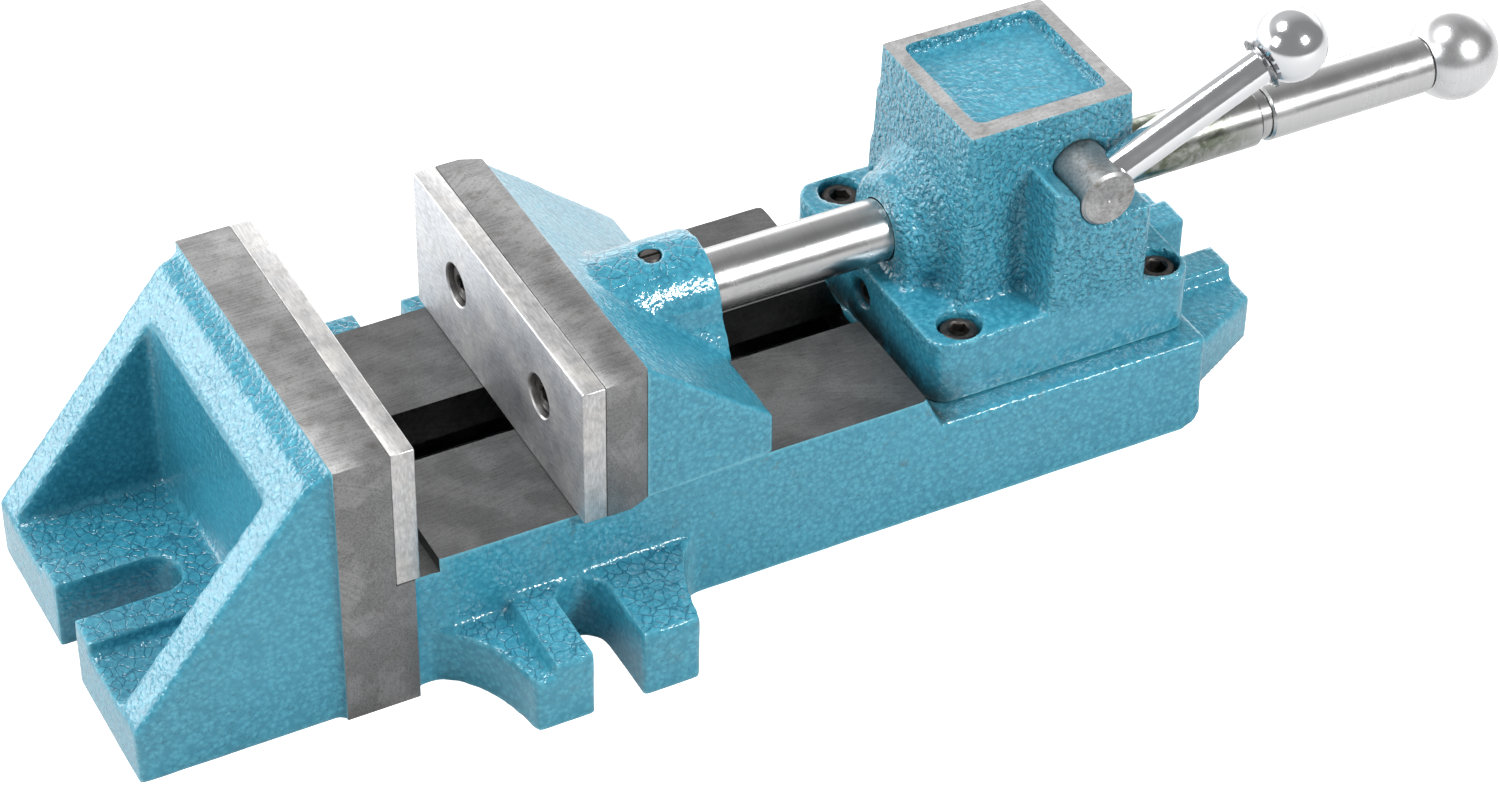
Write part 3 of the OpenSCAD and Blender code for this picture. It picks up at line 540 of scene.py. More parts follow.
def turned_finish(name, colour, rough, ridge, pitch=0.16, soil=0.0, soil_from=0, soil_to=0):
    """Bright round work: fine rings about X, light smudges and, where asked, oily soil."""
    finish, tree, shader = new_finish(name)
    here = places(tree)
    rings = specks(tree, places(tree, (1000 / pitch, 12, 12)), 1, 3, 0.6)
    smudge = specks(tree, here, 90, 4, 0.6, 0.5)
    scratch = specks(tree, places(tree, (60, 1900, 1900)), 1, 3, 0.7)
    tone = layers(
        tree, colour,
        (ramp(tree, rings, 0.35, 0.65, 0, 0.5 if ridge else 0), darker(colour, 0.78)),
        (ramp(tree, scratch, 0.62, 0.74, 0, 0.35), darker(colour, 0.6)),
    )
    if soil:
        run = part_of(tree, here, "X")
        zone = times(tree, ramp(tree, run, soil_from * mm, (soil_from + 10) * mm),
                     ramp(tree, run, (soil_to - 18) * mm, soil_to * mm, 1, 0))
        film = ramp(tree, specks(tree, here, 160, 5, 0.7, 0.6), 0.38, 0.58, 0.35, 1.0)
        tone = mix(tree, times(tree, film, zone, soil), tone, (0.10, 0.12, 0.075, 1))
    fill(tree, shader, Base_Color=tone, Metallic=1,
         Roughness=ramp(tree, smudge, 0.35, 0.7, rough, rough + 0.10))
    if ridge:
        fill(tree, shader, Normal=bump(tree, rings, ridge))
    return finish


bar_polished = turned_finish("polished_bar", grey(0.52), 0.20, 0.000004, 0.2, soil=0.95,
                             soil_from=206, soil_to=272)
sleeve_ground = turned_finish("ground_sleeve", grey(0.60), 0.22, 0.000006, 0.14)
ball_satin = turned_finish("satin_aluminium", (0.72, 0.72, 0.73, 1), 0.24, 0.000010, 0.12)
chrome = turned_finish("bright_chrome", (0.76, 0.77, 0.79, 1), 0.09, 0.0)
shaft_grey = milled_finish("grey_shaft", 0.27, 0.42, (199.7, -40, 81), 0.45, 0.47, stain=0.7)
print("turned finishes ready")

# %% [markdown]
# ## Blackened steel, bronze and spring steel
# The small parts have no tool marks worth drawing. Their colour varies in blotches, and their
# outer edges are rubbed towards a lighter tone, which an ambient occlusion node that looks
# inwards can find.

# %% Small part finishes
def plain_finish(name, colour, worn, rough, metal):
    """A blotchy finish that is worn along its outer edges."""
    finish, tree, shader = new_finish(name)
    here = places(tree)
    blotch = specks(tree, here, 260, 4, 0.6)
    grit = specks(tree, here, 1900, 2)
    rub = shade_in_corners(tree, 0.5, inside=True)
    tone = layers(tree, colour, (ramp(tree, blotch, 0.4, 0.68, 0, 0.5), worn),
                  (ramp(tree, rub, 0.4, 0.9, 0.6, 0), worn))
    fill(tree, shader, Base_Color=tone, Metallic=metal, Normal=bump(tree, grit, 0.000012),
         Roughness=ramp(tree, blotch, 0.3, 0.7, rough - 0.06, rough + 0.1))
    return finish


oxide = plain_finish("black_oxide", (0.032, 0.029, 0.028, 1), (0.15, 0.135, 0.125, 1), 0.38, 0.7)
bronze = plain_finish("bronze", (0.36, 0.22, 0.10, 1), (0.52, 0.36, 0.19, 1), 0.36, 1.0)
spring_steel = plain_finish("spring_steel", (0.24, 0.24, 0.25, 1), (0.42, 0.42, 0.43, 1), 0.3, 1)
print("small part finishes ready")

# %% [markdown]
# ## Casting in sand
# The three castings start from the plain solid. A foundry adds stock where a face will be
# milled later, so `raw_casting` first pushes those faces out. A voxel remesh turns the solid
# into even small faces, smoothing then rounds every corner, more where the passes are more,
# and a broad noise gives the uneven skin of a sand mould. The inside corners get extra passes,
# because a pattern maker fills them with wide fillets.

# %% Foundry
def raw_casting(name, node, voxel, stock):
    """A remeshed copy of a node, with stock on the planes given as (axis, place, amount)."""
    bm = copy_of(node)
    for axis, place, amount in stock:
        for v in bm.verts:
            if abs(v.co[axis] / mm - place) < 0.02:
                v.co[axis] += amount * mm
    obj = solid(name, bm)
    grid = obj.modifiers.new("grid", "REMESH")
    grid.mode = "VOXEL"
    grid.voxel_size = voxel * mm
    grid.adaptivity = 0
    applied(obj)
    print(f"{name}: {len(obj.data.polygons)} faces of {voxel} mm")
    return obj


# %% Rounding and lumps
def smooth(bm, verts, passes):
    """Evens out the vertices, a little more with each pass."""
    for _ in range(passes):
        bmesh.ops.smooth_vert(
            bm, verts=verts, factor=0.5, use_axis_x=True, use_axis_y=True, use_axis_z=True
        )


def inside_corners(bm, rings):
    """The vertices in hollow corners, and those within some rings of them."""
    hollow, found = 0.02 * mm, set()
    for v in bm.verts:
        middle = sum((e.other_vert(v).co for e in v.link_edges), Vector()) / len(v.link_edges)
        if (middle - v.co).dot(v.normal) > hollow:
            found.add(v)
    for _ in range(rings):
        found |= {e.other_vert(v) for v in found for e in v.link_edges}
    return found


def cast_skin(obj, passes, fillet_rings, fillet_passes, lump=0.12):
    """Rounds the corners of a casting and gives it the lumps of a sand mould."""
    size = 12 * mm
    bm = bmesh.new()
    bm.from_mesh(obj.data)
    smooth(bm, bm.verts, passes)
    bm.normal_update()
    smooth(bm, list(inside_corners(bm, fillet_rings)), fillet_passes)
    bm.normal_update()
    for v in bm.verts:
        broad = noise.noise(v.co / size)
        small = noise.noise(v.co / (size / 3.1) + Vector((7, 3, 5)))
        v.co += v.normal * (broad + 0.45 * small) * lump * mm
    smooth(bm, bm.verts, 1)
    bm.to_mesh(obj.data)
    bm.free()


def thin_out(obj, most):
    """Brings an object down to a number of triangles."""
    count = sum(len(p.vertices) - 2 for p in obj.data.polygons)
    if count > most:
        step = obj.modifiers.new("thin", "DECIMATE")
        step.ratio = most / count
        applied(obj)


# %% Finishes by face
def finished_with(obj, *finishes):
    """Gives an object its finishes in order, all faces taking the first."""
    obj.data.materials.clear()
    for finish in finishes:
        obj.data.materials.append(finish)
    for face in obj.data.polygons:
        face.material_index = 0
    return obj


def pick_faces(obj, number, test):
    """Gives a finish by number to the faces that pass a test of centre and normal."""
    picked = [f for f in obj.data.polygons if test(f.center / mm, f.normal)]
    for face in picked:
        face.material_index = number
    return obj


print("foundry ready")

# %% [markdown]
# ## The base
# The base is one iron casting: a foot with two ribs, the block of the fixed jaw, the bed with
# its two ways, two slotted lugs and a slotted tail. It is painted all over and then milled on the
# underside, the ways and the jaw block, so the grey faces have crisp edges against the paint.
# The code follows the same order: cast, round, then cut with plain blocks.

# %% Base casting
jaw_half, head_front, head_back, jaw_top = 50.8, -6.35, -21.2, 80.5
way_top, way_end, lip_front, slot_half, relief = 39.0, 144.0, -1.35, 9.5, 35.0
X, Y, Z = 0, 1, 2

base = raw_casting("base_casting", "base", 1.0, [
    (Z, way_top, 1.3), (Z, 0.0, -1.0), (Z, relief, 0.8), (X, 7.0, -0.8), (Y, slot_half, -1.0),
    (Y, -slot_half, 1.0),
])
cast_skin(base, 2, 2, 4)
thin_out(base, 165000)
finished_with(base, enamel, way_milled, block_milled, side_milled, under_milled, shaded_inner_milled)
ENAMEL, WAY, BLOCK, SIDE, UNDER, SHADED_INNER = range(6)

# %% Base: clearing and milling
side_cut = jaw_half - 0.3
machine(
    base,
    slab("cut", (head_back, side_cut, -20), (head_front, 70, 100)),
    slab("cut", (head_back, -70, -20), (head_front, -side_cut, 100)),
    slab("cut", (head_back, -70, jaw_top - 0.3), (head_front + 1, 70, 100)),
    slab("cut", (head_front, side_cut, -20), (lip_front, 70, 100)),
    slab("cut", (head_front, -70, -20), (lip_front, -side_cut, 100)),
)
machine(
    base, slab("cut", (head_front - 0.15, -80, way_top), (way_end + 0.6, 80, 120)), finish=WAY
)
machine(base, slab("cut", (-100, -90, -10), (300, 90, 0)), finish=UNDER)

print("base cleared and milled:", len(base.data.polygons), "faces")

# %% Base: jaw block, slot and tapped holes
plate_screw_sides, plate_screw_z, tapped = (-25, 25), 61.5, 3.03

block = slab("block", (head_back, -jaw_half, 0), (head_front, jaw_half, jaw_top), 0.25)
lip = slab("lip", (head_back + 1, -jaw_half, 0), (lip_front, jaw_half, way_top), 0.2)
for part in (block, lip):
    pick_faces(part, SIDE, lambda p, n: True)
    pick_faces(part, BLOCK, lambda p, n: n.z > 0.4)
    pick_faces(part, UNDER, lambda p, n: n.z < -0.9)
pick_faces(block, ENAMEL, lambda p, n: n.x < -0.9)
pick_faces(lip, ENAMEL, lambda p, n: n.x > 0.9)
machine(base, block, lip, operation="UNION")
machine(base, slab("relief", (lip_front, -80, relief), (7, 80, 60)), finish=WAY)
machine(base, slab("slot", (head_front, -slot_half, 26), (149.2, slot_half, 60)), finish=SHADED_INNER)
machine(base, slab("keeper_run", (6.1, -29, 14), (149, 29, 27)), finish=SHADED_INNER)
# The hollow's cast faces take the dark milled copy as well, a painted shade.
pick_faces(base, SHADED_INNER, lambda p, n: 5 < p.x < 223 and abs(p.y) < 34.6 and 0.1 < p.z < 27.5)
for side in plate_screw_sides:
    hole = drill((-20, side, plate_screw_z), (1, 0, 0), [(0, tapped), (20, tapped)])
    machine(base, hole, finish=SHADED_INNER)
piece(base, "vise_body", "enamelled_casting", enamel, "base", sharp=40)

# %% [markdown]
# ## The moving jaw
# The moving jaw is a second casting: a milled block that carries the jaw plate, a painted
# wedge behind it and a round boss for the push bar. Below it a milled tongue runs in the slot
# between the ways. The block and the tongue are cut crisp, the rest keeps its cast skin.

# %% Moving jaw casting
block_front, block_back, jaw_under = 50.75, 63.2, 39.15
jaw = raw_casting("moving_jaw_casting", "moving_jaw", 0.85, [(Z, jaw_under, -1.2)])
cast_skin(jaw, 3, 3, 7)
thin_out(jaw, 110000)
finished_with(jaw, enamel, block_milled, side_milled, shaded_inner_milled)
BLOCK, SIDE, SHADED_INNER = 1, 2, 3


# %% Moving jaw: the milled block
def jaw_block():
    """The milled block, with the two corners behind it cut off."""
    outline = [(block_front, -jaw_half), (57.5, -jaw_half), (block_back, -48.4),
               (block_back, 48.4), (57.5, jaw_half), (block_front, jaw_half)]
    bm = bmesh.new()
    corner = [bm.verts.new((x * mm, y * mm, jaw_under * mm)) for x, y in outline]
    face = bm.faces.new(corner)
    grown = bmesh.ops.extrude_face_region(bm, geom=[face])["geom"]
    top = [g for g in grown if isinstance(g, bmesh.types.BMVert)]
    bmesh.ops.translate(bm, verts=top, vec=(0, 0, (jaw_top - jaw_under) * mm))
    bmesh.ops.recalc_face_normals(bm, faces=bm.faces)
    break_edges(bm, 0.25, 2, 50)
    block = pick_faces(solid("block", bm), SIDE, lambda p, n: True)
    return pick_faces(block, BLOCK, lambda p, n: n.z > 0.4)


# %% Moving jaw: machining
axis_z, set_screw_x, keeper_screw_runs = 59.4, 87.7, (61.75, 81.75)

machine(
    jaw,
    slab("cut", (30, -90, 0), (block_front + 0.2, 90, 120)),
    slab("cut", (30, -90, 0), (block_back, -48.2, 120)),
    slab("cut", (30, 48.2, 0), (block_back, 90, 120)),
    slab("cut", (30, -90, jaw_top - 0.3), (block_back, 90, 120)),
)
machine(jaw, slab("cut", (30, -90, 0), (140, 90, jaw_under)), finish=SHADED_INNER)
tongue_low = corners("moving_jaw")[0].z
tongue = slab("tongue", (52.75, -9.35, tongue_low), (90.75, 9.35, jaw_under + 4), 0.2)
machine(jaw, jaw_block(), pick_faces(tongue, SHADED_INNER, lambda p, n: True), operation="UNION")
machine(
    jaw,
    drill((71.2, 0, axis_z), (1, 0, 0), [(0, 8.53), (60, 8.53)], 96),
    drill((set_screw_x, 0, 60), (0, 0, 1), [(0, tapped), (14.4, tapped), (15.4, 3.9)]),
    *(drill((49, side, plate_screw_z), (1, 0, 0), [(0, tapped), (14, tapped)])
      for side in plate_screw_sides),
    *(drill((run, 0, 20), (0, 0, 1), [(0, tapped), (20, tapped)])
      for run in keeper_screw_runs),
    finish=SHADED_INNER,
)
piece(jaw, "moving_jaw", "enamelled_casting", enamel, "moving_jaw", sharp=40)

# %% [markdown]
# ## The housing
# The housing holds the lock: a bolted flange, a drafted tower with a shallow recess in its top,
# a boss for the push bar and a saddle for the cross shaft. Its top rim and underside are
# milled and its bores drilled after painting. A shallow groove is cut round the foot and given
# the black oxide finish, a painted shade that draws the fine dark line under the flange. The
# boss ends in a rounded lip, which is turned and joined on.

# %% Housing casting
pad_top, tower_top = 29.2, 99.7

housing = raw_casting(
    "housing_casting", "housing", 0.85, [(Z, tower_top, 1.2), (Z, pad_top, -1.2)]
)
cast_skin(housing, 3, 3, 6, lump=0.10)
thin_out(housing, 150000)
finished_with(housing, enamel, rim_milled, under_milled, shaded_inner_milled, oxide)
ENAMEL, RIM, UNDER, SHADED_INNER, JOINT_SHADE = range(5)


# %% Housing: lip and seam
def seam(low, high, under, corner, depth, height):
    """A cutter for a shallow groove round the foot of a plate with round corners."""
    outer_low = (low[0] - 3, low[1] - 3, under - 1)
    outer_high = (high[0] + 3, high[1] + 3, under + height)
    bm = bmesh.new()
    bmesh.ops.create_cube(bm, size=1)
    size = Vector((high[0] - low[0] - 2 * depth, high[1] - low[1] - 2 * depth, 20)) * mm
    bmesh.ops.transform(bm, matrix=Matrix.Diagonal((*size, 1)), verts=bm.verts)
    break_edges(bm, corner - depth, 8, 35,
                lambda e: abs((e.verts[0].co - e.verts[1].co).z) > mm)
    middle = Vector(((low[0] + high[0]) / 2, (low[1] + high[1]) / 2, under)) * mm
    bmesh.ops.translate(bm, verts=bm.verts, vec=middle)
    return machine(slab("ring", outer_low, outer_high), solid("core", bm))


collar = lathe(
    "collar",
    [(154.9, 0), (154.9, 11.8), (155.3, 13.3), (156.3, 14.5), (157.8, 15.2), (159.4, 15.3),
     (160.6, 14.9), (161.2, 0)],
    (0, 0, axis_z),
)
machine(housing, collar, operation="UNION", finish=ENAMEL)
machine(housing, slab("cut", (120, -90, tower_top), (260, 90, 130)), finish=RIM)
machine(housing, slab("cut", (120, -90, 0), (260, 90, pad_top)), finish=UNDER)
# The groove takes black oxide: a painted shade for the dark line in the joint.
machine(housing, seam((150.3, -39.8), (229.1, 39.8), pad_top, 6, 1.6, 0.6), finish=JOINT_SHADE)

print("housing milled:", len(housing.data.polygons), "faces")

# %% Housing: chamber, bores and screw holes
shaft_x, shaft_z = 199.7, 81.0
flange_screws = [(x, y) for x in (161.3, 221.5) for y in (-32.5, 32.5)]
head_depth, drill_start = 6, 26

machine(
    housing,
    slab("cut", (174.0, -15.1, 20), (209.8, 15.1, 92)),
    drill((140, 0, axis_z), (1, 0, 0), [(0, 8.8), (100, 8.8)], 96),
    drill((159.6, 0, axis_z), (1, 0, 0), [(0, 11.05), (20, 11.05)], 96),
    drill((206, 0, axis_z), (1, 0, 0), [(0, 11.05), (8.9, 11.05)], 96),
    drill((shaft_x, -60, shaft_z), (0, 1, 0), [(0, 8.06), (48, 8.06)], 96),
    finish=SHADED_INNER,
)
head_seat = corners("housing_screws")[1].z - head_depth - drill_start
counterbore = [(0, 3.1), (head_seat, 3.1), (head_seat, 5.9), (22.0, 5.9), (23.0, 6.4), (26, 6.4)]
machine(
    housing,
    *(drill((x, y, drill_start), (0, 0, 1), counterbore) for x, y in flange_screws),
    finish=ENAMEL,
)
piece(housing, "vise_body", "enamelled_casting", enamel, "housing", sharp=40)

# %% [markdown]
# ## Jaw plates
# Each jaw has a ground steel plate, held by two cap screws that sink below its face. A plate
# is a block with its edges broken by a fine stone, which is what makes the bright lines along
# its top. The holes are drilled after, with a stepped drill that leaves a counterbore.

# %% Two ground plates
def jaw_plate(node, face, into):
    """A plate whose clamping face lies at face, with its holes going into the jaw."""
    low, high = corners(node)
    plate = finished_with(slab(node + "_ground", low, high, 0.45, 3), plate_ground, jaw_ground)
    pick_faces(plate, 1, lambda p, n: n.x * into < -0.9)
    steps = [(0, 6.3), (2.0, 6.3), (2.4, 5.9), (6.6, 5.9), (6.6, 3.2), (12, 3.2)]
    for side in plate_screw_sides:
        machine(plate, drill((face - into * 2, side, plate_screw_z), (into, 0, 0), steps))
    return plate


for node, face, into, body in (
    ("fixed_jaw_plate", 0.0, -1, "vise_body"), ("moving_jaw_plate", 44.4, 1, "moving_jaw"),
):
    piece(jaw_plate(node, face, into), body, "ground_steel", plate_ground, node)

# %% [markdown]
# ## Cap screws
# A socket cap screw is turned and then broached with a six-sided key hole. The same helper
# makes all of them: a half outline for the lathe and a six-sided cutter for the socket. A
# shallow cone at its mouth is the chamfer that guides the key in.

# %% A screw with a six-sided socket
def key_cutter(at, direction, radius, depth):
    """A six-sided cutter with its middle at a place, pointing along a direction."""
    bm = bmesh.new()
    bmesh.ops.create_cone(
        bm, cap_ends=True, segments=6, radius1=radius * mm, radius2=radius * mm, depth=depth * mm
    )
    turn = along(direction) @ along((0, 0, 1)).inverted()
    place = Matrix.Translation(Vector(at) * mm) @ turn
    bmesh.ops.transform(bm, matrix=place, verts=bm.verts)
    return solid("key", bm)


def cap_screw(name, top, direction, head, head_r, length, thread_r, key):
    """A screw whose head top is at top and whose thread points along the direction."""
    round_over = 0.5
    outline = [
        (0, 0), (0, head_r - 1.5 * round_over), (0.18, head_r - 0.6 * round_over),
        (round_over, head_r), (head - 0.25, head_r), (head, head_r - 0.25), (head, thread_r),
        (head + length - 0.8, thread_r), (head + length, thread_r - 0.8), (head + length, 0),
    ]
    screw = lathe(name, outline, top, direction, 64)
    machine(screw, key_cutter(top, direction, key, head))
    machine(screw, drill(top - Vector(direction) * 0.5, direction,
                         [(0, key + 0.7), (0.55, key + 0.25), (1.1, key - 0.45)]))
    return screw


def joined(name, parts):
    """Several loose shapes as one object."""
    bm = bmesh.new()
    for part in parts:
        bm.from_mesh(part.data)
        take_away(part)
    return solid(name, bm)


# %% All the cap screws
head_r, thread_r, low_head = 5.0, 3.0, 3.2


def screw_set(node, body, tops, direction, head, key):
    """The screws of one node: their head tops, the way they point and their key's radius."""
    low, high = corners(node)
    length = abs((high - low).dot(Vector(direction))) - head
    screws = [
        cap_screw("screw", Vector(top), direction, head, head_r, length, thread_r, key)
        for top in tops
    ]
    piece(joined(node + "_turned", screws), body, "black_oxide", oxide, node)


for node, top, way, body in (
    ("fixed_plate_screws", -1.4, (-1, 0, 0), "vise_body"),
    ("moving_plate_screws", 45.8, (1, 0, 0), "moving_jaw"),
):
    tops = [(top, y, plate_screw_z) for y in plate_screw_sides]
    screw_set(node, body, tops, way, low_head, 2.3)
high = corners("housing_screws")[1]
screw_set("housing_screws", "vise_body", [(x, y, high.z) for x, y in flange_screws], (0, 0, -1),
          head_depth, 2.9)
low = corners("keeper_screws")[0]
screw_set("keeper_screws", "moving_jaw", [(x, 0, low.z) for x in keeper_screw_runs], (0, 0, 1),
          head_depth, 2.9)

# %% [markdown]
# ## The push bar and its handle
# The operator pushes a polished steel bar that runs through the housing to the moving jaw. It
# ends in a short neck, a slightly thinner sleeve and a satin ball. All of it is lathe work, so
# each piece is one outline with small chamfers. `turned` makes such a piece: it spins the
# outline, by default about the bar's axis, cuts its tools out and passes it to `piece`.

# %% Bar and sleeve
def turned(node, body, slot, finish, outline, *tools, at=(0, 0, axis_z), direction=(1, 0, 0),
           steps=96, closed=False):
    """A node's piece as lathe work, with the tools cut out of it."""
    shape = lathe(node + "_turned", outline, at, direction, steps, closed)
    piece(machine(shape, *tools), body, slot, finish, node)


low, high = corners("push_bar")
turned(
    "push_bar", "moving_jaw", "polished_bar", bar_polished,
    [(low.x, 0), (low.x, 7.7), (low.x + 0.8, 8.5), (269.2, 8.5), (270, 7.9), (270.2, 7.2),
     (273.2, 7.2), (273.4, 6.0), (high.x, 6.0), (high.x, 0)],
    steps=128,
)
turned(
    "handle_sleeve", "moving_jaw", "polished_bar", sleeve_ground,
    [(273.4, 6.05), (273.4, 7.6), (274.1, 8.2), (325.7, 8.2), (326.4, 7.7), (326.4, 6.05)],
    steps=128, closed=True,
)


# %% Ball
def ball_outline(centre, radius, seat, bore, depth, arcs=48):
    """Half outline of a ball with a flat seat towards -X and a bore in it."""
    first = math.asin(min(1, seat / radius))
    arc = [math.pi - first - (math.pi - first) * i / arcs for i in range(arcs + 1)]
    rim = [(centre + radius * math.cos(a), radius * math.sin(a)) for a in arc[:-1]]
    face = centre - math.sqrt(radius ** 2 - seat ** 2)
    return ([(face + depth, 0), (face + depth, bore), (face, bore), (face, seat - 0.3)]
            + rim + [(centre + radius, 0)])


turned("handle_ball", "moving_jaw", "satin_aluminium", ball_satin,
       ball_outline(337.16, 13.05, 7.8, 6.03, 8), steps=128)

# %% [markdown]
# ## The set screw
# A grub screw in the top of the boss bites on the bar. It is a short turned pin with a
# chamfered top, and a thin block cuts its screwdriver slot.

# %% Set screw over the bar
low, high = corners("bar_set_screw")
turned(
    "bar_set_screw", "moving_jaw", "black_oxide", oxide,
    [(0, 0), (0, 2.45), (0.5, 2.95), (high.z - low.z, 2.95), (high.z - low.z, 0)],
    slab("slot", (82, -0.5, high.z - 1.6), (94, 0.5, high.z + 1)),
    at=(set_screw_x, 0, high.z), direction=(0, 0, -1), steps=64,
)

# %% [markdown]
# ## Bushes, pins and dowels
# Two bronze bushes carry the bar inside the housing, two dowels place the housing on its pad
# and one pin carries the lock plate. None shows much, but each is a turned piece with broken
# edges, so the vise can be opened up and still look right. The adjusting screw in the flange
# is turned too, and gets its key hole from the same cutter as the cap screws.

# %% Bushes
for node in ("front_bush", "rear_bush"):
    low, high = corners(node)
    turned(node, "vise_body", "bronze", bronze, round_stock(low.x, high.x, 11, 0.4, 8.6),
           closed=True)

# %% Dowels and pivot pin
low, high = corners("housing_dowels")
dowels = [
    lathe("dowel", round_stock(low.z, high.z, 3, 0.5), (x, y, 0), (0, 0, 1), 48)
    for x, y in ((176, 33), (207.3, -33))
]
piece(joined("housing_dowels_turned", dowels), "vise_body", "grey_steel", spring_steel,
      "housing_dowels")

pivot_z = 39.4
low, high = corners("lock_pivot_pin")
turned(
    "lock_pivot_pin", "vise_body", "grey_steel", spring_steel,
    round_stock(low.y, high.y, 2.5, 0.4), at=(188.56, 0, pivot_z), direction=(0, 1, 0), steps=48,
)

# %% Adjusting screw
low, high = corners("lock_adjust_screw")
turned(
    "lock_adjust_screw", "vise_body", "black_oxide", oxide,
    [(low.x, 0), (low.x, 3.3), (low.x + 0.6, 3.94), (high.x - 0.6, 3.94), (high.x, 3.2),
     (high.x, 0)],
    key_cutter((low.x, 0, pivot_z), (1, 0, 0), 2.3, 8), at=(0, 0, pivot_z), steps=64,
)

# %% [markdown]
# ## The lock lever
# A rod with a chromed ball turns the cross shaft, whose cam leans the lock plate against the
# bar. The shaft's outer end shows its turned face with a chamfer and the lathe's centre mark.
# Inside the housing the shaft keeps the shape of the plain solid, cut off where the new end
# begins: a cam is easier to keep than to turn.

# %% Cross shaft: the outer end
lever_y, lever_tilt, stub_end = -32.54, math.radians(25), -16.5
lever_way = Vector((math.cos(lever_tilt), 0, math.sin(lever_tilt)))
shaft_middle = Vector((shaft_x, lever_y, shaft_z))
shaft_end = corners("cross_shaft")[0].y
turned(
    "cross_shaft", "lock_lever", "grey_steel", shaft_grey,
    [(shaft_end + 0.9, 0), (shaft_end + 0.15, 0.7), (shaft_end, 0.95), (shaft_end, 7.2),
     (shaft_end + 0.8, 8.0), (stub_end, 8.0), (stub_end, 0)],
    drill(shaft_middle - lever_way * 5, lever_way, [(0, 5.05), (20, 5.05)]),
    at=(shaft_x, 0, shaft_z), direction=(0, 1, 0),
)

# %% Cross shaft: the cam
bm = copy_of("cross_shaft")
bmesh.ops.bisect_plane(
    bm, geom=bm.verts[:] + bm.edges[:] + bm.faces[:], plane_co=(0, stub_end * mm, 0),
    plane_no=(0, 1, 0), clear_inner=True,
)
bmesh.ops.holes_fill(bm, edges=[e for e in bm.edges if e.is_boundary])
cam = solid("cross_shaft_cam", bm)
piece(cam, "lock_lever", "grey_steel", shaft_grey, sharp=25)

# %% [markdown]
# ## Rod, ball and washer of the lever
# The rod and the ball are chromed, so they are smooth lathe work and their look comes from
# what they mirror. A thin dished washer with teeth is pushed on at the ball's neck. It is
# spun as a closed ring, and a block cuts a gap beside each tooth.

# %% Lever rod and ball
ball_at, ball_r, rod_r = 62.8, 10.1, 5
rod_end = ball_at - 4
rod = lathe(
    "lever_rod_plated",
    [(-4.9, 0), (-4.9, 4.4), (-4.3, rod_r), (rod_end - 0.5, rod_r), (rod_end, 4.5),
     (rod_end, 0)],
    shaft_middle, lever_way,
)
piece(rod, "lock_lever", "bright_chrome", chrome, "lever_rod")

lever_ball = lathe(
    "lever_ball_plated", ball_outline(ball_at, ball_r, 5.4, 5.03, 4.6), shaft_middle, lever_way
)
piece(lever_ball, "lock_lever", "bright_chrome", chrome, "lever_ball")


# %% Toothed washer
def push_washer(name, teeth=12):
    """A dished push-on washer, with slots between its teeth."""
    at = ball_at - math.sqrt(ball_r ** 2 - rod_r ** 2) - 0.1
    ring = lathe(
        name,
        [(at - 0.75, 5.3), (at - 0.35, 7.4), (at, 7.4), (at - 0.3, 5.1)],
        shaft_middle, lever_way, closed=True,
    )
    turn = Matrix.Translation(shaft_middle * mm) @ along(lever_way)
    for i in range(teeth):
        bm = bmesh.new()
        bmesh.ops.create_cube(bm, size=1)
        shape = (
            turn @ Matrix.Rotation(math.tau * i / teeth, 4, "X")
            @ Matrix.Translation(((at - 0.4) * mm, 6.9 * mm, 0))
            @ Matrix.Diagonal((3 * mm, 1.5 * mm, 1.1 * mm, 1))
        )
        bmesh.ops.transform(bm, matrix=shape, verts=bm.verts)
        machine(ring, solid("gap", bm))
    return ring


piece(push_washer("lever_washer_cut"), "lock_lever", "grey_steel", spring_steel, "lever_washer")

# %% [markdown]
# ## The keeper
# A milled plate under the ways keeps the moving jaw from lifting. Two screws with washers hold
# it to the jaw's tongue. The plate is a block with broken edges, and the washers are closed
# rings spun on the lathe.

# %% Keeper and washers
low, high = corners("jaw_keeper")
keeper = slab("jaw_keeper_milled", low, high, 0.4)
for run in keeper_screw_runs:
    machine(keeper, drill((run, 0, low.z - 2), (0, 0, 1), [(0, 3.2), (14, 3.2)]))
piece(keeper, "moving_jaw", "milled_steel", shaded_inner_milled, "jaw_keeper")

low, high = corners("keeper_washers")
washers = [
    lathe("washer", round_stock(low.z, high.z, 6.25, 0.15, 3.25), (x, 0, 0), (0, 0, 1), 64,
          closed=True)
    for x in keeper_screw_runs
]
piece(joined("keeper_washers_stamped", washers), "moving_jaw", "grey_steel", spring_steel,
      "keeper_washers")

# %% [markdown]
# ## Clip and lock plate
# The spring clip on the shaft is stamped and the lock plate is milled. Both start from merged
# copies of their plain solids, because a cut ring and a leaning plate are already right there,
# and only their edges need breaking.

# %% Clip and lock plate
def edged_copy(name, node, width):
    """A copy of a node with its flat faces made whole and its edges broken."""
    bm = copy_of(node)
    bmesh.ops.dissolve_limit(
        bm, angle_limit=math.radians(0.5), verts=bm.verts, edges=bm.edges, delimit={"NORMAL"}
    )
    break_edges(bm, width, 1, 50)
    return solid(name, bm)


piece(edged_copy("shaft_clip_stamped", "shaft_clip", 0.12), "lock_lever", "black_oxide", oxide,
      "shaft_clip", sharp=30)
piece(edged_copy("lock_plate_milled", "lock_plate", 0.3), "lock_plate", "milled_steel",
      shaded_inner_milled, "lock_plate", sharp=30)

# %% [markdown]
# ## The lock spring
# The spring is wound from round wire, and so is this one: a small circle is spun about the
# spring's axis and moved on a little with each step, which draws a coil. Its two open ends are
# then filled.

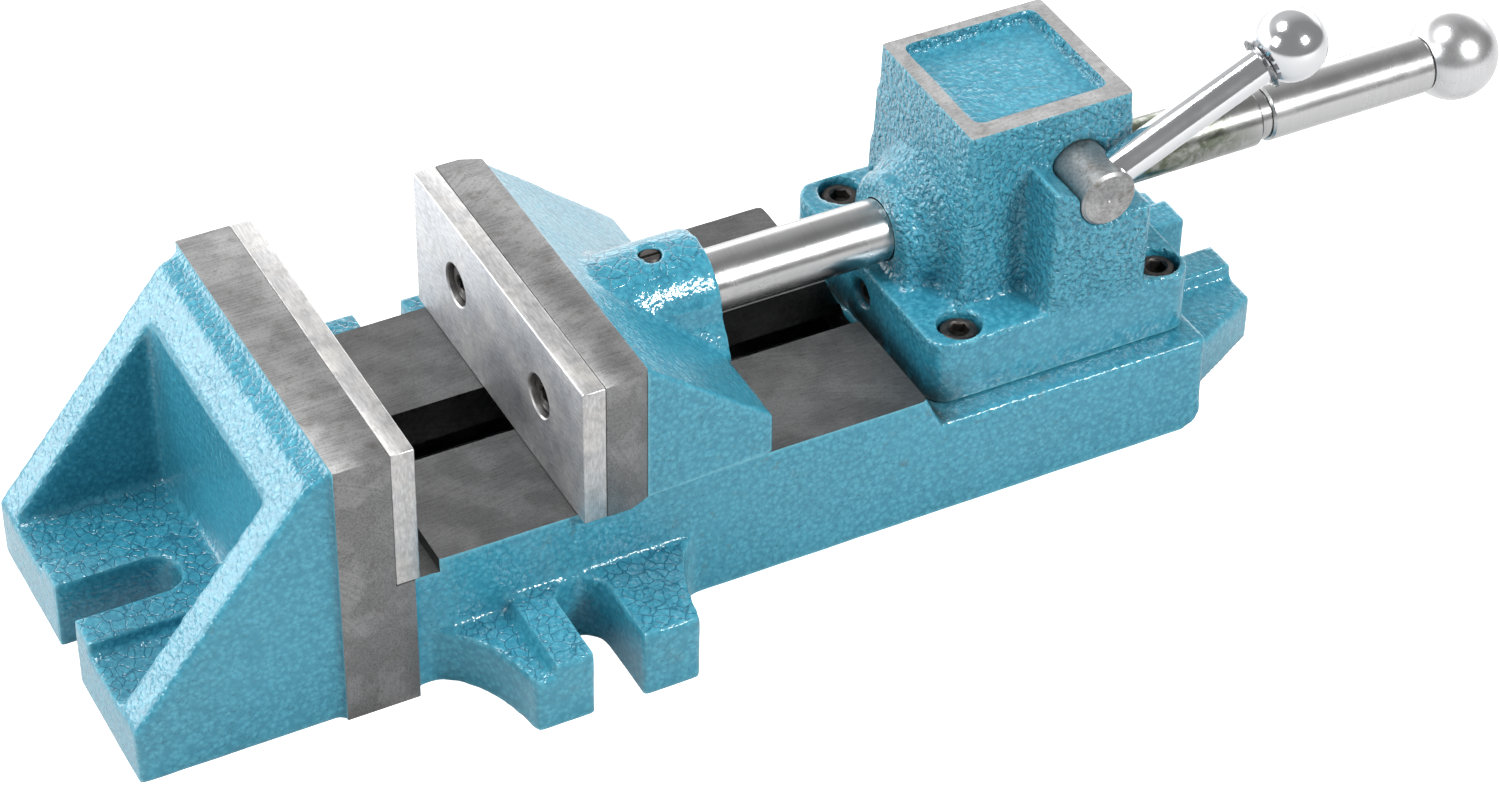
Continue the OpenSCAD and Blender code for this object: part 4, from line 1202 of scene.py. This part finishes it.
# %% Lock spring
low, high = corners("lock_spring")
wire, turns, middle = 0.5, 5, (low + high) / 2
coil_r = (high.z - low.z) / 2 - wire
bm = bmesh.new()
ring = bmesh.ops.create_circle(bm, segments=12, radius=wire * mm)["verts"]
start = (
    Matrix.Translation(((low.x + wire) * mm, 0, middle.z * mm + coil_r * mm))
    @ Matrix.Rotation(math.pi / 2, 4, "Y") @ Matrix.Rotation(math.pi / 2, 4, "X")
)
bmesh.ops.transform(bm, matrix=start, verts=ring)
run = high.x - low.x - 2 * wire - 0.4
steps = 36 * turns
bmesh.ops.spin(
    bm, geom=bm.verts[:] + bm.edges[:], cent=(0, 0, middle.z * mm), axis=(1, 0, 0),
    dvec=(run * mm / steps, 0, 0), angle=math.tau * turns, steps=steps,
)
bmesh.ops.holes_fill(bm, edges=[e for e in bm.edges if e.is_boundary])
piece(solid("lock_spring_wound", bm), "vise_body", "grey_steel", spring_steel, "lock_spring")

# %% [markdown]
# ## The floor
# The photograph is a studio picture on white paper. A plain lit floor would come out grey, so
# this one glows a little: for the camera, which keeps it white, and weakly behind the vise for
# polished pieces, which mirror it. Under the vise it doesn't glow, so the contact shade stays.

# %% Floor
bm = bmesh.new()
bmesh.ops.create_grid(bm, x_segments=1, y_segments=1, size=6)
bmesh.ops.translate(bm, verts=bm.verts, vec=(0, 0, -0.00002))
floor = solid("studio_floor", bm)
paper, tree, shader = new_finish("studio_paper")
seen = add(tree, "LightPath").outputs["Is Camera Ray"]
here = places(tree)
mirrored = add(tree, "LightPath").outputs["Is Glossy Ray"]
covered = times(tree, maths(tree, "COMPARE", part_of(tree, here, "X"), 0.114, 0.112),
                maths(tree, "COMPARE", part_of(tree, here, "Y"), 0.0, 0.039))
behind = ramp(tree, part_of(tree, here, "Y"), -0.05, 0.20, 0.0, 0.35)
glow = maths(tree, "ADD", times(tree, seen, 1.1), times(tree, mirrored, behind))
fill(tree, shader, Roughness=0.9, Emission_Color=grey(1),
     Base_Color=mix(tree, specks(tree, here, 3, 2), grey(0.58), grey(0.62)),
     Emission_Strength=times(tree, glow, maths(tree, "SUBTRACT", 1.0, covered)))
floor.data.materials.append(paper)
print("floor laid:", [round(v, 1) for v in floor.dimensions])

# %% [markdown]
# ## Sky and lights
# Behind the vise the sky is bright near the ground and dim above, as a lit paper sweep is, so
# slopes shine and level faces stay deep. A key light from the front right draws the bright
# lines along rounded edges and inside corners, a soft one hangs above and a weaker one stands
# on the left. The plain "Standard" view keeps the enamel's colour; the default view greys it.

# %% Sky
bpy.context.scene.view_settings.view_transform = "Standard"
sky = bpy.data.worlds.new("studio")
bpy.context.scene.world = sky
sky.use_nodes = True
tree = sky.node_tree
around = add(tree, "TexCoord").outputs["Generated"]
behind = ramp(tree, part_of(tree, around, "Y"), 0.05, 0.6)
low = ramp(tree, part_of(tree, around, "Z"), 0.30, 0.50, 1, 0)
left = ramp(tree, part_of(tree, around, "X"), -0.50, -0.15, 4.8, 2.2)
wall = maths(tree, "ADD", times(tree, low, left), 0.35)
fill(tree, tree.nodes["Background"], Color=grey(1),
     Strength=maths(tree, "ADD", times(tree, behind, wall), 0.30))
print("sky:", len(tree.nodes), "nodes")


# %% Lights
def lamp(name, place, aim, width, depth, power):
    """A soft box at a place, in metres, aimed at the vise; its power is in watts."""
    data = bpy.data.lights.new(name, "AREA")
    data.shape = "RECTANGLE"
    data.size = width
    data.size_y = depth
    data.energy = power
    obj = bpy.data.objects.new(name, data)
    bpy.context.scene.collection.objects.link(obj)
    obj.location = place
    turn = (Vector(aim) - Vector(place)).to_track_quat("-Z", "Y")
    obj.rotation_euler = turn.to_euler()
    print(f"{name}: {power} W, {width} by {depth} m")


middle = Vector((0.12, 0, 0.03))
lamp("top_light", (-0.20, 0.25, 1.25), middle, 0.5, 0.4, 8.5)
lamp("key_light", (0.65, -1.0, 0.85), middle, 0.36, 0.36, 16)
lamp("left_light", (-1.1, -0.15, 0.75), middle, 0.5, 0.6, 7)

# %% [markdown]
# ## The camera
# The camera repeats the photograph's view: a long lens, turned a little to the left of the
# vise, looking down on it and rolled by a degree. Its axes are worked out from those three
# angles, and it stands back along its own line of sight. The small shift puts the vise where
# the photograph has it.

# %% Camera
azimuth, elevation, roll = (math.radians(a) for a in (-27.92, 39.42, 0.95))
back = Vector((
    math.sin(azimuth) * math.cos(elevation), -math.cos(azimuth) * math.cos(elevation),
    math.sin(elevation),
))
level = Vector((0, 0, 1)).cross(back).normalized()
rise = back.cross(level)
right = math.cos(roll) * level + math.sin(roll) * rise
up = math.cos(roll) * rise - math.sin(roll) * level
lens = bpy.data.cameras.new("view")
lens.lens, lens.sensor_width = 99.72, 36
lens.shift_x, lens.shift_y = 0.00873, -0.0023
lens.clip_start, lens.clip_end = 0.01, 50
camera = bpy.data.objects.new("view", lens)
bpy.context.scene.collection.objects.link(camera)
stand = Matrix((right, up, back)).transposed().to_4x4()
stand.translation = Vector((0.1071, -0.0120, 0.0309)) + back * 1.0853
camera.matrix_world = stand
bpy.context.scene.camera = camera
print("camera stands at", [round(v, 3) for v in camera.matrix_world.translation])
